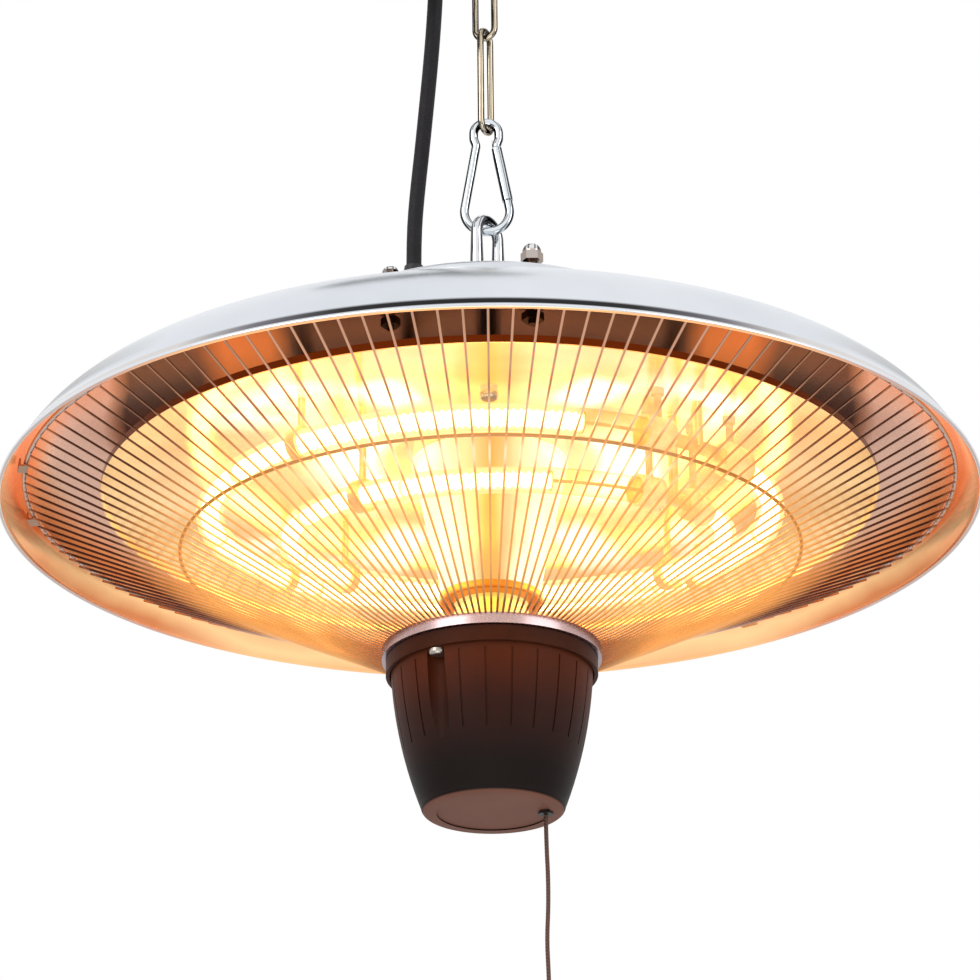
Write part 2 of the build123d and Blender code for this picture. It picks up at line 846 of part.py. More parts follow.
# Ring lamps: quartz tube, glowing core with its support rings, end caps, clips and bridge strap
def lamp_place(lamp, shape):
    """Tilts a lamp's piece, drawn flat round the vertical axis, and moves it to its place."""
    return Pos(lamp_centre_x[lamp], 0, lamp_centre_z[lamp]) * Rot(lamp_tilt_deg[lamp], 0, 0) * shape


def lamp_point(lamp, degrees):
    """A point on the centreline of a lamp's ring."""
    x, y = polar(lamp_ring_r[lamp], degrees)
    tilt = math.radians(lamp_tilt_deg[lamp])
    return lamp_centre_x[lamp] + x, y * math.cos(tilt), lamp_centre_z[lamp] + y * math.sin(tilt)


def lamp_tube(lamp):
    section = Circle(lamp_tube_r[lamp]) - Circle(lamp_tube_r[lamp] - lamp_wall)
    tube = ring_arc(lamp_ring_r[lamp], section, lamp_start_deg[lamp], lamp_end_deg[lamp])
    return single(lamp_place(lamp, tube))


def lamp_core(lamp):
    first = lamp_start_deg[lamp] + lamp_cap_deg[lamp] / 2
    last = lamp_core_end_deg[lamp]
    ring_r = lamp_ring_r[lamp]
    core = ring_arc(ring_r, Circle(lamp_core_r[lamp]), first, last)
    support = Circle(lamp_tube_r[lamp] - lamp_wall - touch_gap)
    for k in range(1, lamp_support_count + 1):
        at = first + (last - first) * k / (lamp_support_count + 1)
        core += ring_arc(ring_r, support, at, at + lamp_support_deg)
    lead = ring_arc(ring_r, Circle(lead_r / 2), last, lamp_end_deg[lamp])
    return single(lamp_place(lamp, core + lead))


def lamp_caps(lamp):
    ring_r = lamp_ring_r[lamp]
    outer = lamp_tube_r[lamp] + lamp_cap_extra
    deep = lamp_cap_deg[lamp] / 3
    cup = Circle(outer) - Circle(lamp_tube_r[lamp] + touch_gap)
    start = lamp_start_deg[lamp] - deep / 8
    end = lamp_end_deg[lamp] + deep / 8
    plug = Circle(outer)
    first = ring_arc(ring_r, plug, start - 2 * deep, start) + ring_arc(ring_r, cup, start, start + deep)
    last = ring_arc(ring_r, plug, end, end + 2 * deep) + ring_arc(ring_r, cup, end - deep, end)
    return group(lamp_place(lamp, first), lamp_place(lamp, last))


def lamp_clips(lamp):
    ring_r = lamp_ring_r[lamp]
    outer = lamp_tube_r[lamp] + lamp_clip_wire
    span = math.degrees(lamp_clip_width / ring_r)
    band = Circle(outer) - Circle(lamp_tube_r[lamp] + touch_gap)
    made = []
    for at in lamp_clip_deg:
        ring = lamp_place(lamp, ring_arc(ring_r, band, at - span / 2, at + span / 2))
        x, y, z = lamp_point(lamp, at)
        high = reflector_z(math.hypot(x, y) + lamp_clip_wire) - touch_gap
        post = washer(lamp_clip_wire, 0, z + outer - lamp_clip_wire / 2, high, (x, y))
        made.append(ring + post)
    return group(*made)


def lamp_strap(lamp):
    """The bridge between a lamp's two end caps, with the post that hangs it from the reflector."""
    ring_r = lamp_ring_r[lamp]
    deep = lamp_cap_deg[lamp] / 3
    start = lamp_end_deg[lamp] + deep / 8 + 2 * deep - 360
    end = lamp_start_deg[lamp] - deep / 8 - 2 * deep
    clear = math.degrees(touch_gap / ring_r)
    section = Rectangle(strap_t, strap_width)
    bar = lamp_place(lamp, ring_arc(ring_r, section, start + clear, end - clear))
    x, y, z = lamp_point(lamp, (start + end) / 2)
    high = reflector_z(math.hypot(x, y) + strap_post_r) - touch_gap
    return single(bar + washer(strap_post_r, 0, z, high, (x, y)))


# Leads from the lamp caps over the reflector and down inside the column to the terminal block
terminal_top = switch_at[2] + switch_size[2] / 2 + bracket_t + terminal_size[2] + 2 * touch_gap


def lead_cap_point(lamp, last):
    """Where a lead leaves the top of a lamp's end cap."""
    deep = lamp_cap_deg[lamp] / 3
    turn = lamp_end_deg[lamp] + deep * 1.1 if last else lamp_start_deg[lamp] - deep * 1.1
    x, y, z = lamp_point(lamp, turn)
    return x, y, z + lamp_tube_r[lamp] + lamp_cap_extra


lead_low = terminal_top + touch_gap
lead_ends = [(0, True), (0, False), (1, True), (1, False)]
lead_places = [(lead_cap_point(lamp, last)[:2], lamp) for lamp, last in lead_ends]


def lamp_leads():
    made = []
    for k, (lamp, last) in enumerate(lead_ends):
        x, y, z = lead_cap_point(lamp, last)
        over = lead_run_z + k * (2 * lead_r + seat_gap)
        ix, iy = polar(lead_inner_r, lead_inner_deg[k])
        path = FilletPolyline(
            (x, y, z + touch_gap), (x, y, over), (ix, iy, over), (ix, iy, lead_low), radius=lead_bend_r
        )
        made.append(wire_along(path, lead_r))
    return group(*made)


def reflector_grommets():
    made = []
    for at, _ in lead_places:
        z = reflector_z(math.hypot(*at))
        tall = reflector_t * 4
        ring = washer(grommet_r - touch_gap / 2, lead_r + touch_gap / 2, z - tall, z + tall, at)
        made.append(ring)
    return group(*made)


# Guard: radial wires welded to a collar and two rings
def guard_wire():
    foot_z = guard_knee_z - (guard_knee_r - guard_collar_r) * guard_foot_fall
    path = FilletPolyline(
        (guard_ring_r, 0, guard_ring_z - guard_ring_wire_r - guard_wire_r - touch_gap),
        (guard_mid_r, 0, guard_mid_z),
        (guard_knee_r, 0, guard_knee_z),
        (guard_collar_r - guard_collar_t / 2, 0, foot_z),
        radius=[guard_mid_r / 4, guard_collar_r / 12],
    )
    return wire_along(path, guard_wire_r)


def guard_collar():
    body = turned(outline(
        (guard_collar_r - guard_collar_t, guard_collar_top),
        (guard_collar_r, guard_collar_top),
        (guard_collar_r, guard_collar_bottom),
        (guard_flange_r, guard_collar_bottom),
        (guard_flange_r, guard_collar_bottom + guard_collar_t),
        (guard_collar_r - guard_collar_t, guard_collar_bottom + guard_collar_t),
    ))
    return single(body)


def guard_ring():
    return single(Pos(0, 0, guard_ring_z) * ring_arc(guard_ring_r, Circle(guard_ring_wire_r), 0, 360))


def guard_wires():
    """The wires, all welded to the collar."""
    wire = guard_wire()
    return single(guard_collar().fuse(*around(guard_wire_count, wire)))


def guard_mid_ring():
    run = (guard_mid_r - guard_knee_r, guard_mid_z - guard_knee_z)
    length = math.hypot(*run)
    off = guard_wire_r + guard_mid_wire_r + touch_gap
    ring = ring_arc(guard_mid_r - off * run[1] / length, Circle(guard_mid_wire_r), 0, 360)
    return single(Pos(0, 0, guard_mid_z + off * run[0] / length) * ring)


def guard_clips():
    """Small tabs that hold the guard's outer ring up against the shade."""
    high = guard_ring_z - guard_ring_wire_r - touch_gap
    inside = guard_ring_r - guard_ring_wire_r
    reach = guard_clip_reach_r
    tab = Box(reach - inside, guard_clip_width, guard_clip_t, align=hanging)
    tab = Pos((inside + reach) / 2, 0, high) * tab
    lip = Box(guard_clip_t, guard_clip_width, guard_clip_lip_h, align=standing)
    lip = Pos(reach - guard_clip_t / 2, 0, high) * lip
    clip = single(tab + lip)
    pitch = 360 / guard_wire_count
    made = []
    for start in guard_clip_deg:
        for k in range(guard_clip_count):
            turn = start + k * 360 / guard_clip_count
            between = (math.floor(turn / pitch) + 0.5) * pitch
            made.append(Rot(0, 0, between) * clip)
    return group(*made)


# Switch housing: lid, tapering bucket with screw channels and shallow grooves
def housing_lid():
    bore = spine_r + seat_gap
    body = turned(outline(
        (bore, lid_top),
        (lid_r, lid_top),
        (lid_r, lid_bottom),
        (lid_r - lid_wall, lid_bottom),
        (lid_r - lid_wall, lid_top - lid_t),
        (bore, lid_top - lid_t),
    ))
    for turn in lead_inner_deg + (inner_lead_deg,):
        at = polar(lead_inner_r, turn)
        radius = inner_lead_r if turn == inner_lead_deg else lead_r
        body -= Pos(at[0], at[1], lid_top) * Cylinder(radius + seat_gap, 4 * lid_t)
    for at in channel_places:
        body -= Pos(at[0], at[1], lid_top - lid_t / 2) * Cylinder(cap_screw_r + touch_gap, 2 * lid_t)
    return single(body)


channel_turns = [channel_azimuth + k * 360 / channel_count for k in range(channel_count)]
channel_places = [polar(channel_at_r, turn) for turn in channel_turns]
housing_top = lid_top - lid_t - touch_gap
housing_neck_r = lid_r - lid_wall - touch_gap


def housing_face(inset, low):
    """Half outline of the bucket, moved in by a wall."""
    points = [(housing_neck_r - inset, 0, housing_top)]
    points += [(radius - inset, 0, z) for radius, z in housing_profile]
    neck = Line(points[0], points[1])
    wall = ThreePointArc(*points[1:])
    end = points[-1]
    floor = (housing_floor_r - inset, 0, low)
    corner = ThreePointArc(end, ((end[0] * 2 + floor[0]) / 3, 0, (end[2] + 2 * low) / 3), floor)
    return make_face(Wire([
        neck,
        wall,
        corner,
        Line(floor, (0, 0, low)),
        Line((0, 0, low), (0, 0, housing_top)),
        Line((0, 0, housing_top), points[0]),
    ]))


def switch_housing():
    full = turned(housing_face(0, housing_bottom))
    hollow = turned(housing_face(housing_wall, housing_bottom + housing_wall))
    boss_r = channel_r + housing_wall
    depth = housing_top - channel_bottom
    for at in channel_places:
        hollow -= Pos(at[0], at[1], channel_bottom) * Cylinder(
            boss_r, depth + cut_over, align=standing
        )
    shell = full - hollow
    for at in channel_places:
        head_z = lid_bottom - seat_gap
        shell -= Pos(at[0], at[1], head_z) * Cylinder(
            channel_r, head_z - channel_bottom + cut_over, align=hanging
        )
        shell -= Pos(at[0], at[1], head_z) * Cylinder(cap_screw_r + touch_gap, 2 * depth)
    skin = full - turned(housing_face(rib_groove_depth, housing_bottom))
    slot_h = lid_bottom - cut_over - rib_groove_bottom
    slot = Pos(housing_shoulder_r, 0, rib_groove_bottom) * Box(
        housing_shoulder_r, 2 * rib_groove_half, slot_h, align=standing
    )
    for k in range(rib_groove_count):
        turn = channel_azimuth + k * 360 / rib_groove_count
        if k % (rib_groove_count // channel_count) == 0:
            continue
        shell -= Rot(0, 0, turn) * slot & skin
    label = Pos(0, 0, housing_bottom) * Cylinder(
        housing_label_r, housing_label_depth, align=standing
    )
    hole = Pos(cord_x, 0, housing_bottom) * Cylinder(bush_r * bush_neck_share, 4 * housing_wall)
    return single(shell - label - hole)


def housing_screws():
    high = lid_bottom - seat_gap - touch_gap
    made = []
    for at in channel_places:
        head_r = channel_r - channel_head_gap
        head = washer(head_r, 0, high - cap_screw_head_h, high, at)
        head = fillet(head.edges().filter_by(GeomType.CIRCLE).sort_by(Axis.Z)[0], cap_screw_head_h * head_round_share)
        made.append(head + washer(cap_screw_r, 0, high - touch_gap, lid_top, at))
    return group(*made)


# Pull switch
def switch_body():
    body = Pos(*switch_at) * Box(*switch_size)
    return single(fillet(body.edges().filter_by(Axis.Z), switch_corner_r))


def switch_bracket():
    """Carries the switch: a plate beside it with two cheeks for the drum, and a plate over it."""
    face = switch_at[0] + switch_size[0] / 2 + touch_gap
    over = switch_at[2] + switch_size[2] / 2 + touch_gap
    low = drum_z - drum_flange_r
    wide = switch_size[1]
    corner = (Align.MIN, Align.CENTER, Align.MIN)
    plate = Pos(face, 0, low) * Box(bracket_t, wide, over + bracket_t - low, align=corner)
    deep = switch_size[0]
    plate += Pos(face - deep, 0, over) * Box(deep + bracket_t, wide, bracket_t, align=corner)
    reach = cord_x - drum_r + axle_r + bracket_t - face
    for side in (-1, 1):
        y = side * (drum_w / 2 + seat_gap + bracket_t / 2)
        plate += Pos(face, y, low) * Box(reach, bracket_t, 2 * drum_flange_r, align=corner)
    bore = Cylinder(axle_r + running_gap, 4 * drum_w)
    return single(plate - Pos(cord_x - drum_r, 0, drum_z) * Rot(90, 0, 0) * bore)


def drum_axle():
    axle = Cylinder(axle_r, drum_w + 4 * bracket_t)
    return single(Pos(cord_x - drum_r, 0, drum_z) * Rot(90, 0, 0) * axle)


def switch_drum():
    blank = Cylinder(drum_flange_r, drum_w)
    groove = Cylinder(drum_flange_r + cut_over, 2 * cord_r + 2 * touch_gap) - Cylinder(
        drum_r - cord_r - touch_gap, 2 * cord_r + 2 * touch_gap
    )
    bore = Cylinder(axle_r + running_gap, 2 * drum_w)
    return single(Pos(cord_x - drum_r, 0, drum_z) * Rot(90, 0, 0) * (blank - groove - bore))


def drum_spring():
    """The torsion spring's closed pack of turns beside the drum."""
    low = drum_w / 2 + 2 * seat_gap + bracket_t
    ring = Cylinder(axle_r * 2, drum_w / 2, align=standing)
    ring -= Cylinder(axle_r + touch_gap, drum_w / 2, align=standing)
    return single(Pos(cord_x - drum_r, 0, drum_z) * Rot(90, 0, 0) * Pos(0, 0, low) * ring)


def terminal_block():
    block = Pos(terminal_x, 0, terminal_top) * Box(*terminal_size, align=hanging)
    return single(fillet(block.edges().filter_by(Axis.Z), touch_gap * 8))


def cord_bush():
    at = (cord_x, 0)
    flange = washer(bush_r, bush_bore_r, housing_bottom - bush_flange_t, housing_bottom - touch_gap / 2, at)
    inside = housing_bottom + housing_wall + bush_lip
    neck = washer(bush_r * bush_neck_share - touch_gap, bush_bore_r, housing_bottom - touch_gap, inside, at)
    return single(flange + neck)


def switch_cord():
    return single(washer(cord_r, 0, housing_bottom - seat_gap, drum_z, (cord_x, 0)))


# Pull cord and knob below the housing; the cord's points are chosen by hand
pull_points = (
    (0.0, 0.0, -138.35),
    (0.1, 0.0, -152.0),
    (0.6, 0.2, -165.0),
    (0.5, -0.1, -179.0),
    (-0.3, 0.0, -193.0),
    (0.2, 0.2, -207.0),
    (0.4, 0.0, -222.0),
    (0.1, -0.3, -238.0),
    (-0.2, 0.0, -254.0),
    (0.0, 0.1, -270.0),
    (0.0, 0.0, -286.0),
)


def corner_radii(points, least):
    """An arc for every corner of a cord's route, as wide as its two runs allow."""
    radii = []
    for a, b, c in zip(points, points[1:], points[2:]):
        before, after = Vector(*b) - Vector(*a), Vector(*c) - Vector(*b)
        half = math.radians(before.get_angle(after)) / 2
        radii.append(cord_corner_share * min(before.length, after.length) / math.tan(half))
    print("radii", [round(r, 1) for r in radii], "least allowed", least)
    return radii


def cord_tube(name, points, radius, least):
    """A cord's stretch: straight runs joined by tangent arcs."""
    path = FilletPolyline(*points, radius=corner_radii(points, least))
    tube = single(wire_along(path, radius))
    filled = tube.volume / (math.pi * radius**2 * path.length)
    print(name, "volume over section times length", round(filled, 5), "length", round(path.length, 1))
    return tube


def pull_cord():
    points = [(cord_x + x, y, z) for x, y, z in pull_points]
    return cord_tube("pull cord", points, cord_r, 3 * 2 * cord_r)


def pull_knob():
    top = pull_points[-1][2] - touch_gap
    neck, side, belly, under, tip = [
        (knob_r * out, 0, top - knob_h * down) for out, down in knob_shares
    ]
    body = turned(make_face(Wire([
        Line((0, 0, top), neck),
        ThreePointArc(neck, side, belly),
        ThreePointArc(belly, under, tip),
        Line(tip, (0, 0, tip[2])),
        Line((0, 0, tip[2]), (0, 0, top)),
    ])))
    return single(Pos(cord_x, 0, 0) * body)


# Mains lead: gland, visible stretch, put-away coil, tie and plug
gland_seat_z = cap_z(math.hypot(*gland_at) - gland_nut_r) + touch_gap
sleeve_top = gland_seat_z + gland_h + gland_sleeve_h


def cable_gland():
    nut = hexagon(gland_nut_r, gland_seat_z, gland_seat_z + gland_h, lead_cable_r + seat_gap, gland_at)
    neck_low = cap_under_z(math.hypot(*gland_at)) - gland_h
    neck = washer(
        gland_sleeve_r, lead_cable_r + seat_gap, neck_low, gland_seat_z + touch_gap, gland_at
    )
    return single(nut + neck)


def gland_lock_nut():
    far = math.hypot(*gland_at) + 2 * gland_nut_r / math.sqrt(3)
    high = cap_under_z(far) - touch_gap
    return hexagon(gland_nut_r, high - thin_nut_h, high, gland_sleeve_r + running_gap, gland_at)


def gland_sleeve():
    low = gland_seat_z + gland_h + touch_gap
    foot_r, tip_r = gland_sleeve_r * gland_sleeve_shares[0], lead_cable_r * gland_sleeve_shares[1]
    sleeve = Cone(foot_r, tip_r, gland_sleeve_h, align=standing)
    sleeve -= Cylinder(lead_cable_r + touch_gap, gland_sleeve_h, align=standing)
    return single(Pos(gland_at[0], gland_at[1], low) * sleeve)


def inner_lead():
    """The lead's own run inside: down from the gland, over to the column and down into the housing."""
    high = sleeve_top + touch_gap
    ix, iy = polar(lead_inner_r, inner_lead_deg)
    over = reflector_flat_z + inner_lead_rise
    thick_low = over + inner_lead_drop
    path = FilletPolyline(
        (gland_at[0], gland_at[1], thick_low),
        (gland_at[0], gland_at[1], over),
        (ix, iy, over),
        (ix, iy, lead_low),
        radius=inner_lead_r * 4,
    )
    upper = washer(lead_cable_r, 0, thick_low - touch_gap, high, gland_at)
    return single(wire_along(path, inner_lead_r) + upper)


# The visible stretch of the mains lead, from the gland up to the coil; points chosen by hand
stretch_points = (
    (-33.0, 25.0, 128.45),
    (-32.9, 24.9, 145.0),
    (-31.3, 23.3, 164.0),
    (-29.1, 20.6, 183.0),
    (-27.1, 17.4, 202.0),
    (-25.1, 14.0, 221.0),
    (-23.4, 10.7, 240.0),
    (-22.2, 7.8, 259.0),
    (-21.8, 5.2, 276.0),
    (-22.0, 3.8, 291.0),
    (-22.0, 3.8, 305.0),
)

# From the coil's last turn forward and to the right, where the plug lies in front of the coil
tail_points = (
    (-124.0, -3.8, 312.0),
    (-124.0, -3.8, 298.0),
    (-119.2, -6.7, 282.9),
    (-109.8, -12.5, 271.4),
    (-97.5, -19.5, 265.0),
    (-83.1, -25.1, 263.4),
    (-69.3, -27.6, 263.4),
)


def mains_cable():
    return cord_tube("mains stretch", stretch_points, lead_cable_r, 5 * 2 * lead_cable_r)


def coil_point(turn):
    """Place and heading on the coil, so many radians along its turns."""
    inward = coil_turns_in_layer * 2 * math.pi
    slope = coil_pitch / (2 * math.pi)
    least = coil_outer_r - coil_turns_in_layer * coil_pitch
    side = coil_pitch / 2
    y, dy = side, 0.0
    if turn <= inward:
        r, dr = coil_outer_r - slope * turn, -slope
    elif turn >= inward + math.pi:
        r, dr, y = least + slope * (turn - inward - math.pi), slope, -side
    else:
        part = turn - inward
        r, dr = least - slope * math.sin(part), -slope * math.cos(part)
        y, dy = side * math.cos(part), -side * math.sin(part)
    c, s = math.cos(turn), math.sin(turn)
    place = Vector(stretch_points[-1][0] - coil_outer_r + r * c, y, coil_height + r * s)
    return place, Vector(dr * c - r * s, dy, dr * s + r * c).normalized()


def biarc(p0, t0, p1, t1):
    """Two arcs from one point and heading to another."""
    v, t = p1 - p0, t0 + t1
    d = 2 * (1 - t0.dot(t1))
    reach = (math.sqrt(v.dot(t) ** 2 + d * v.dot(v)) - v.dot(t)) / d
    middle = (p0 + p1 + (t0 - t1) * reach) * 0.5
    heading = ((p1 - t1 * reach) - (p0 + t0 * reach)).normalized()
    return [TangentArc(p0, middle, tangent=t0), TangentArc(middle, p1, tangent=heading)]


def mains_coil():
    quarter = math.pi / 2
    count = 4 * coil_turns_in_layer + 2 + 4 * coil_turns_in_layer
    stops = [coil_point(k * quarter) for k in range(count + 1)]
    stops[0] = (stops[0][0], Vector(0, 0, 1))
    stops[-1] = (stops[-1][0], Vector(0, 0, -1))
    edges = [Line(stretch_points[-1], stops[0][0])]
    for (p0, t0), (p1, t1) in zip(stops, stops[1:]):
        edges += biarc(p0, t0, p1, t1)
    tail = FilletPolyline(*tail_points, radius=corner_radii(tail_points, 5 * 2 * lead_cable_r))
    path = Wire(edges + list(tail.edges()))
    coil = single(wire_along(path, lead_cable_r))
    filled = coil.volume / (math.pi * lead_cable_r**2 * path.length)
    print("coil volume over section times length", round(filled, 5), "length", round(path.length, 1))
    return coil


# A hook-and-loop strap that ties the coil to the chain's top link
def cable_tie():
    ring_x = stretch_points[-1][0]
    left = ring_x - coil_turns_in_layer * coil_pitch - lead_cable_r - tie_coil_gap
    right = link_wire_r + tie_link_gap
    half = coil_pitch / 2 + lead_cable_r + tie_side_gap
    corner = half * tie_corner_share
    inside = Pos((left + right) / 2, 0) * RectangleRounded(right - left, 2 * half, corner)
    outside = Pos((left + right) / 2, 0) * RectangleRounded(
        right - left + 2 * tie_t, 2 * half + 2 * tie_t, corner + tie_t
    )
    strap = extrude(outside - inside, tie_w)
    return single(Pos(0, 0, coil_height - tie_w / 2) * strap)


# Rubber plug at the tail's end
def plug_frame(shape):
    """Moves a shape drawn along +Z from the origin to the tail's end and heading."""
    end, before = Vector(*tail_points[-1]), Vector(*tail_points[-2])
    return Plane(origin=end, z_dir=end - before, x_dir=(0, 0, 1)) * shape


def mains_plug():
    grip = plug_neck_h + plug_grip_h
    tall = grip + plug_flange_h
    tail = (lead_cable_r * plug_tail_share, 0, touch_gap)
    neck = (plug_neck_r, 0, plug_neck_h)
    belly = (plug_grip_r, 0, plug_neck_h + plug_grip_h * plug_grip_shares[0])
    waist = (plug_grip_r * plug_grip_shares[1], 0, grip)
    body = turned(make_face(Wire([
        Line((0, 0, touch_gap), tail),
        Line(tail, neck),
        ThreePointArc(neck, belly, waist),
        Line(waist, (plug_r, 0, grip)),
        Line((plug_r, 0, grip), (plug_r, 0, tall)),
        Line((plug_r, 0, tall), (0, 0, tall)),
        Line((0, 0, tall), (0, 0, touch_gap)),
    ])))
    return single(plug_frame(body))


def plug_pins():
    tall = plug_neck_h + plug_grip_h + plug_flange_h
    pins = []
    for side in (-1, 1):
        pin = Cylinder(plug_pin_r, plug_pin_length, align=standing)
        pin = fillet(pin.edges().filter_by(GeomType.CIRCLE).sort_by(Axis.Z)[-1], plug_pin_r * head_round_share)
        pins.append(plug_frame(Pos(0, side * plug_pin_gap / 2, tall) * pin))
    return group(*pins)


# Every piece of the heater at its height below the ceiling
for name, shape in (
    ("eye_nut", eye_nut()),
    ("top_cap", top_cap()),
    ("acorn_nuts", acorn_nuts()),
    ("cap_studs", cap_studs()),
    ("cap_screws", cap_screws()),
    ("cap_nuts", group(cap_stud_nuts(), cap_screw_nuts())),
    ("shade", shade()),
    ("spine_tube", spine_tube()),
    ("spine_nuts", group(shade_nut(), lid_nuts())),
    ("reflector", reflector()),
    ("spacers", group(cap_spacer(), reflector_spacers())),
    ("reflector_screws", reflector_screws()),
    ("column_cone", column_cone()),
    ("column_ring", column_ring()),
    ("column_sleeve", column_sleeve()),
    ("outer_lamp_tube", lamp_tube(0)),
    ("outer_lamp_core", lamp_core(0)),
    ("inner_lamp_tube", lamp_tube(1)),
    ("inner_lamp_core", lamp_core(1)),
    ("lamp_caps", group(lamp_caps(0), lamp_caps(1))),
    ("lamp_clips", group(lamp_clips(0), lamp_clips(1))),
    ("lamp_straps", group(lamp_strap(0), lamp_strap(1))),
    ("lamp_leads", lamp_leads()),
    ("reflector_grommets", reflector_grommets()),
    ("wire_guard", guard_wires()),
    ("guard_outer_ring", guard_ring()),
    ("guard_middle_ring", guard_mid_ring()),
    ("guard_clips", guard_clips()),
    ("housing_lid", housing_lid()),
    ("switch_housing", switch_housing()),
    ("housing_screws", housing_screws()),
    ("switch_body", switch_body()),
    ("switch_bracket", switch_bracket()),
    ("drum_axle", drum_axle()),
    ("switch_drum", switch_drum()),
    ("drum_spring", drum_spring()),
    ("terminal_block", terminal_block()),
    ("cord_bush", cord_bush()),
    ("switch_cord", switch_cord()),
    ("pull_cord", pull_cord()),
    ("pull_knob", pull_knob()),
    ("cable_gland", cable_gland()),
    ("gland_nut", gland_lock_nut()),
    ("gland_sleeve", gland_sleeve()),
    ("inner_lead", inner_lead()),
    ("mains_cable", mains_cable()),
    ("mains_coil", mains_coil()),
    ("cable_tie", cable_tie()),
    ("mains_plug", mains_plug()),
    ("plug_pins", plug_pins()),
):
    nodes[name] = at_rim(shape)

os.makedirs("parts", exist_ok=True)
for name, shape in nodes.items():
    export_step(shape, f"parts/{name}.step")
    print(name, len(shape.solids()), round(shape.volume, 1), shape.is_valid)
print("nodes", len(nodes), "rim", round(rim_z, 3))
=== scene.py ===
import math

import bmesh
import bpy
from mathutils import Matrix, Quaternion, Vector


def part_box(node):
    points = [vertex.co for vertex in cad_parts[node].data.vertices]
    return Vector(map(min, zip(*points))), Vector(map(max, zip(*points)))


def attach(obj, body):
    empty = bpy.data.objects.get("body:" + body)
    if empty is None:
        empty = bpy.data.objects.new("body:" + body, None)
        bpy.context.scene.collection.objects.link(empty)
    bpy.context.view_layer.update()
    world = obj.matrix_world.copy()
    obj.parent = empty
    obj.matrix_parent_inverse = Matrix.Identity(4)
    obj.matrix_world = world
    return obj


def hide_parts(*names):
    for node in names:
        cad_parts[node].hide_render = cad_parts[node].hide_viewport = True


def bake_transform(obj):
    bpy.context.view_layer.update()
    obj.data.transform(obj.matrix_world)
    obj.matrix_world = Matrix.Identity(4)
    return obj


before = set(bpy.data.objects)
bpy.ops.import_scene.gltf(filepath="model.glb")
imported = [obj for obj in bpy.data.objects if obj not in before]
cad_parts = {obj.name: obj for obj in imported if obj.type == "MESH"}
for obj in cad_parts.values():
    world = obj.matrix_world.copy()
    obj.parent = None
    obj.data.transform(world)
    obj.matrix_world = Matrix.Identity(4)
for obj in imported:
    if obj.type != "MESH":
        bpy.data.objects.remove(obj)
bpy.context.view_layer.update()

bl_info = {
    "name": "Hanging Patio Heater",
    "version": (1, 0, 0),
    "blender": (4, 5, 0),
    "location": "View3D > Sidebar > Heater",
    "description": "Dresses a ceiling-hung ring heater with its shade, lamps, guard, switch and leads",
    "category": "Object",
}

# Sizes in millimetres, counted from the rim's own centre; the rim hangs this far below the ceiling
mm = 0.001
mm_per_m = 1000.0
rim_z = -383.95

shade_rim_r = 212.5
bead_r = 1.0
shade_t = 1.0
shoulder = ((209.0, 5.4), (198.0, 20.4), (182.0, 31.6))
shoulder_steps = 14
crown_top = 73.0
crown_ball_r = (shoulder[2][0] ** 2 + (crown_top - shoulder[2][1]) ** 2) / (2 * (crown_top - shoulder[2][1]))
crown_steps = 30
spine_hole_r = 5.3

cap_r = 79.0
cap_edge_z = 82.0
cap_ball_r = 185.0
cap_t = 1.0
cap_round_r = 4.0
cap_seat = 0.3
cap_turns = 128

reflector_r = 168.0
reflector_t = 0.8
reflector_low = ((32.6, 22.5), (40.0, 22.5), (84.0, 19.5), (167.2, 7.4))
reflector_back = ((84.0, 20.3), (40.0, 23.3), (32.6, 23.3))
reflector_lip_z = (5.0, 8.2)

lamps = (
    {"name": "outer", "ring": 121.0, "x": 0.0, "z": -3.0, "tilt": 2.3, "tube": 6.0, "start": -31.5,
     "end": 303.0, "coil_end": 288.0, "coil": 3.7},
    {"name": "inner", "ring": 93.4, "x": 7.0, "z": -13.5, "tilt": 6.3, "tube": 5.5, "start": -30.0,
     "end": 307.0, "coil_end": 281.0, "coil": 3.3},
)
spiral_wire_r = 0.7
spiral_pitch = 3.2
spiral_steps = 8
spiral_gap_deg = 4.0
glow_inset = 0.5
lamp_wire_r = 0.8
support_gaps = 8
support_inset = 1.2
support_deg = 0.35

guard_path = (
    (200.8, 7.2), (145.0, -17.3), (134.3, -22.0), (126.0, -26.3), (60.2, -59.8), (54.4, -62.3), (46.3, -64.7),
)
guard_collar = ((45.6, -64.2), (47.0, -64.2), (47.0, -69.0), (34.0, -69.0), (34.0, -67.6), (45.6, -67.6))
guard_count = 124
guard_wire_r = 0.55
guard_ring = {"r": 200.8, "z": 9.0, "wire": 1.1}
guard_mid_wire_r = 0.8
ring_arc = (0, 330, 11)

housing_foot_z, housing_top_z = -137.3, -69.0

# Route of the mains lead from the gland up to the coil, then from the coil forward to the plug
stretch = (
    (-33.0, 25.0, 128.45), (-32.9, 24.9, 145.0), (-31.3, 23.3, 164.0), (-29.1, 20.6, 183.0),
    (-27.1, 17.4, 202.0), (-25.1, 14.0, 221.0), (-23.4, 10.7, 240.0), (-22.2, 7.8, 259.0),
    (-21.8, 5.2, 276.0), (-22.0, 3.8, 291.0), (-22.0, 3.8, 305.0),
)
tail = (
    (-124.0, -3.8, 307.0), (-123.8, -3.9, 298.0), (-119.2, -6.7, 282.9), (-109.8, -12.5, 271.4),
    (-97.5, -19.5, 265.0), (-83.1, -25.1, 263.4), (-69.3, -27.6, 263.4),
)
coil_height = 312.0
coil_outer_r = 51.0
coil_pitch = 7.6
coil_turns = 3
coil_points_per_turn = 24
lead_r = 3.5
strap_corner_r = 6.0
strap_t = 1.4

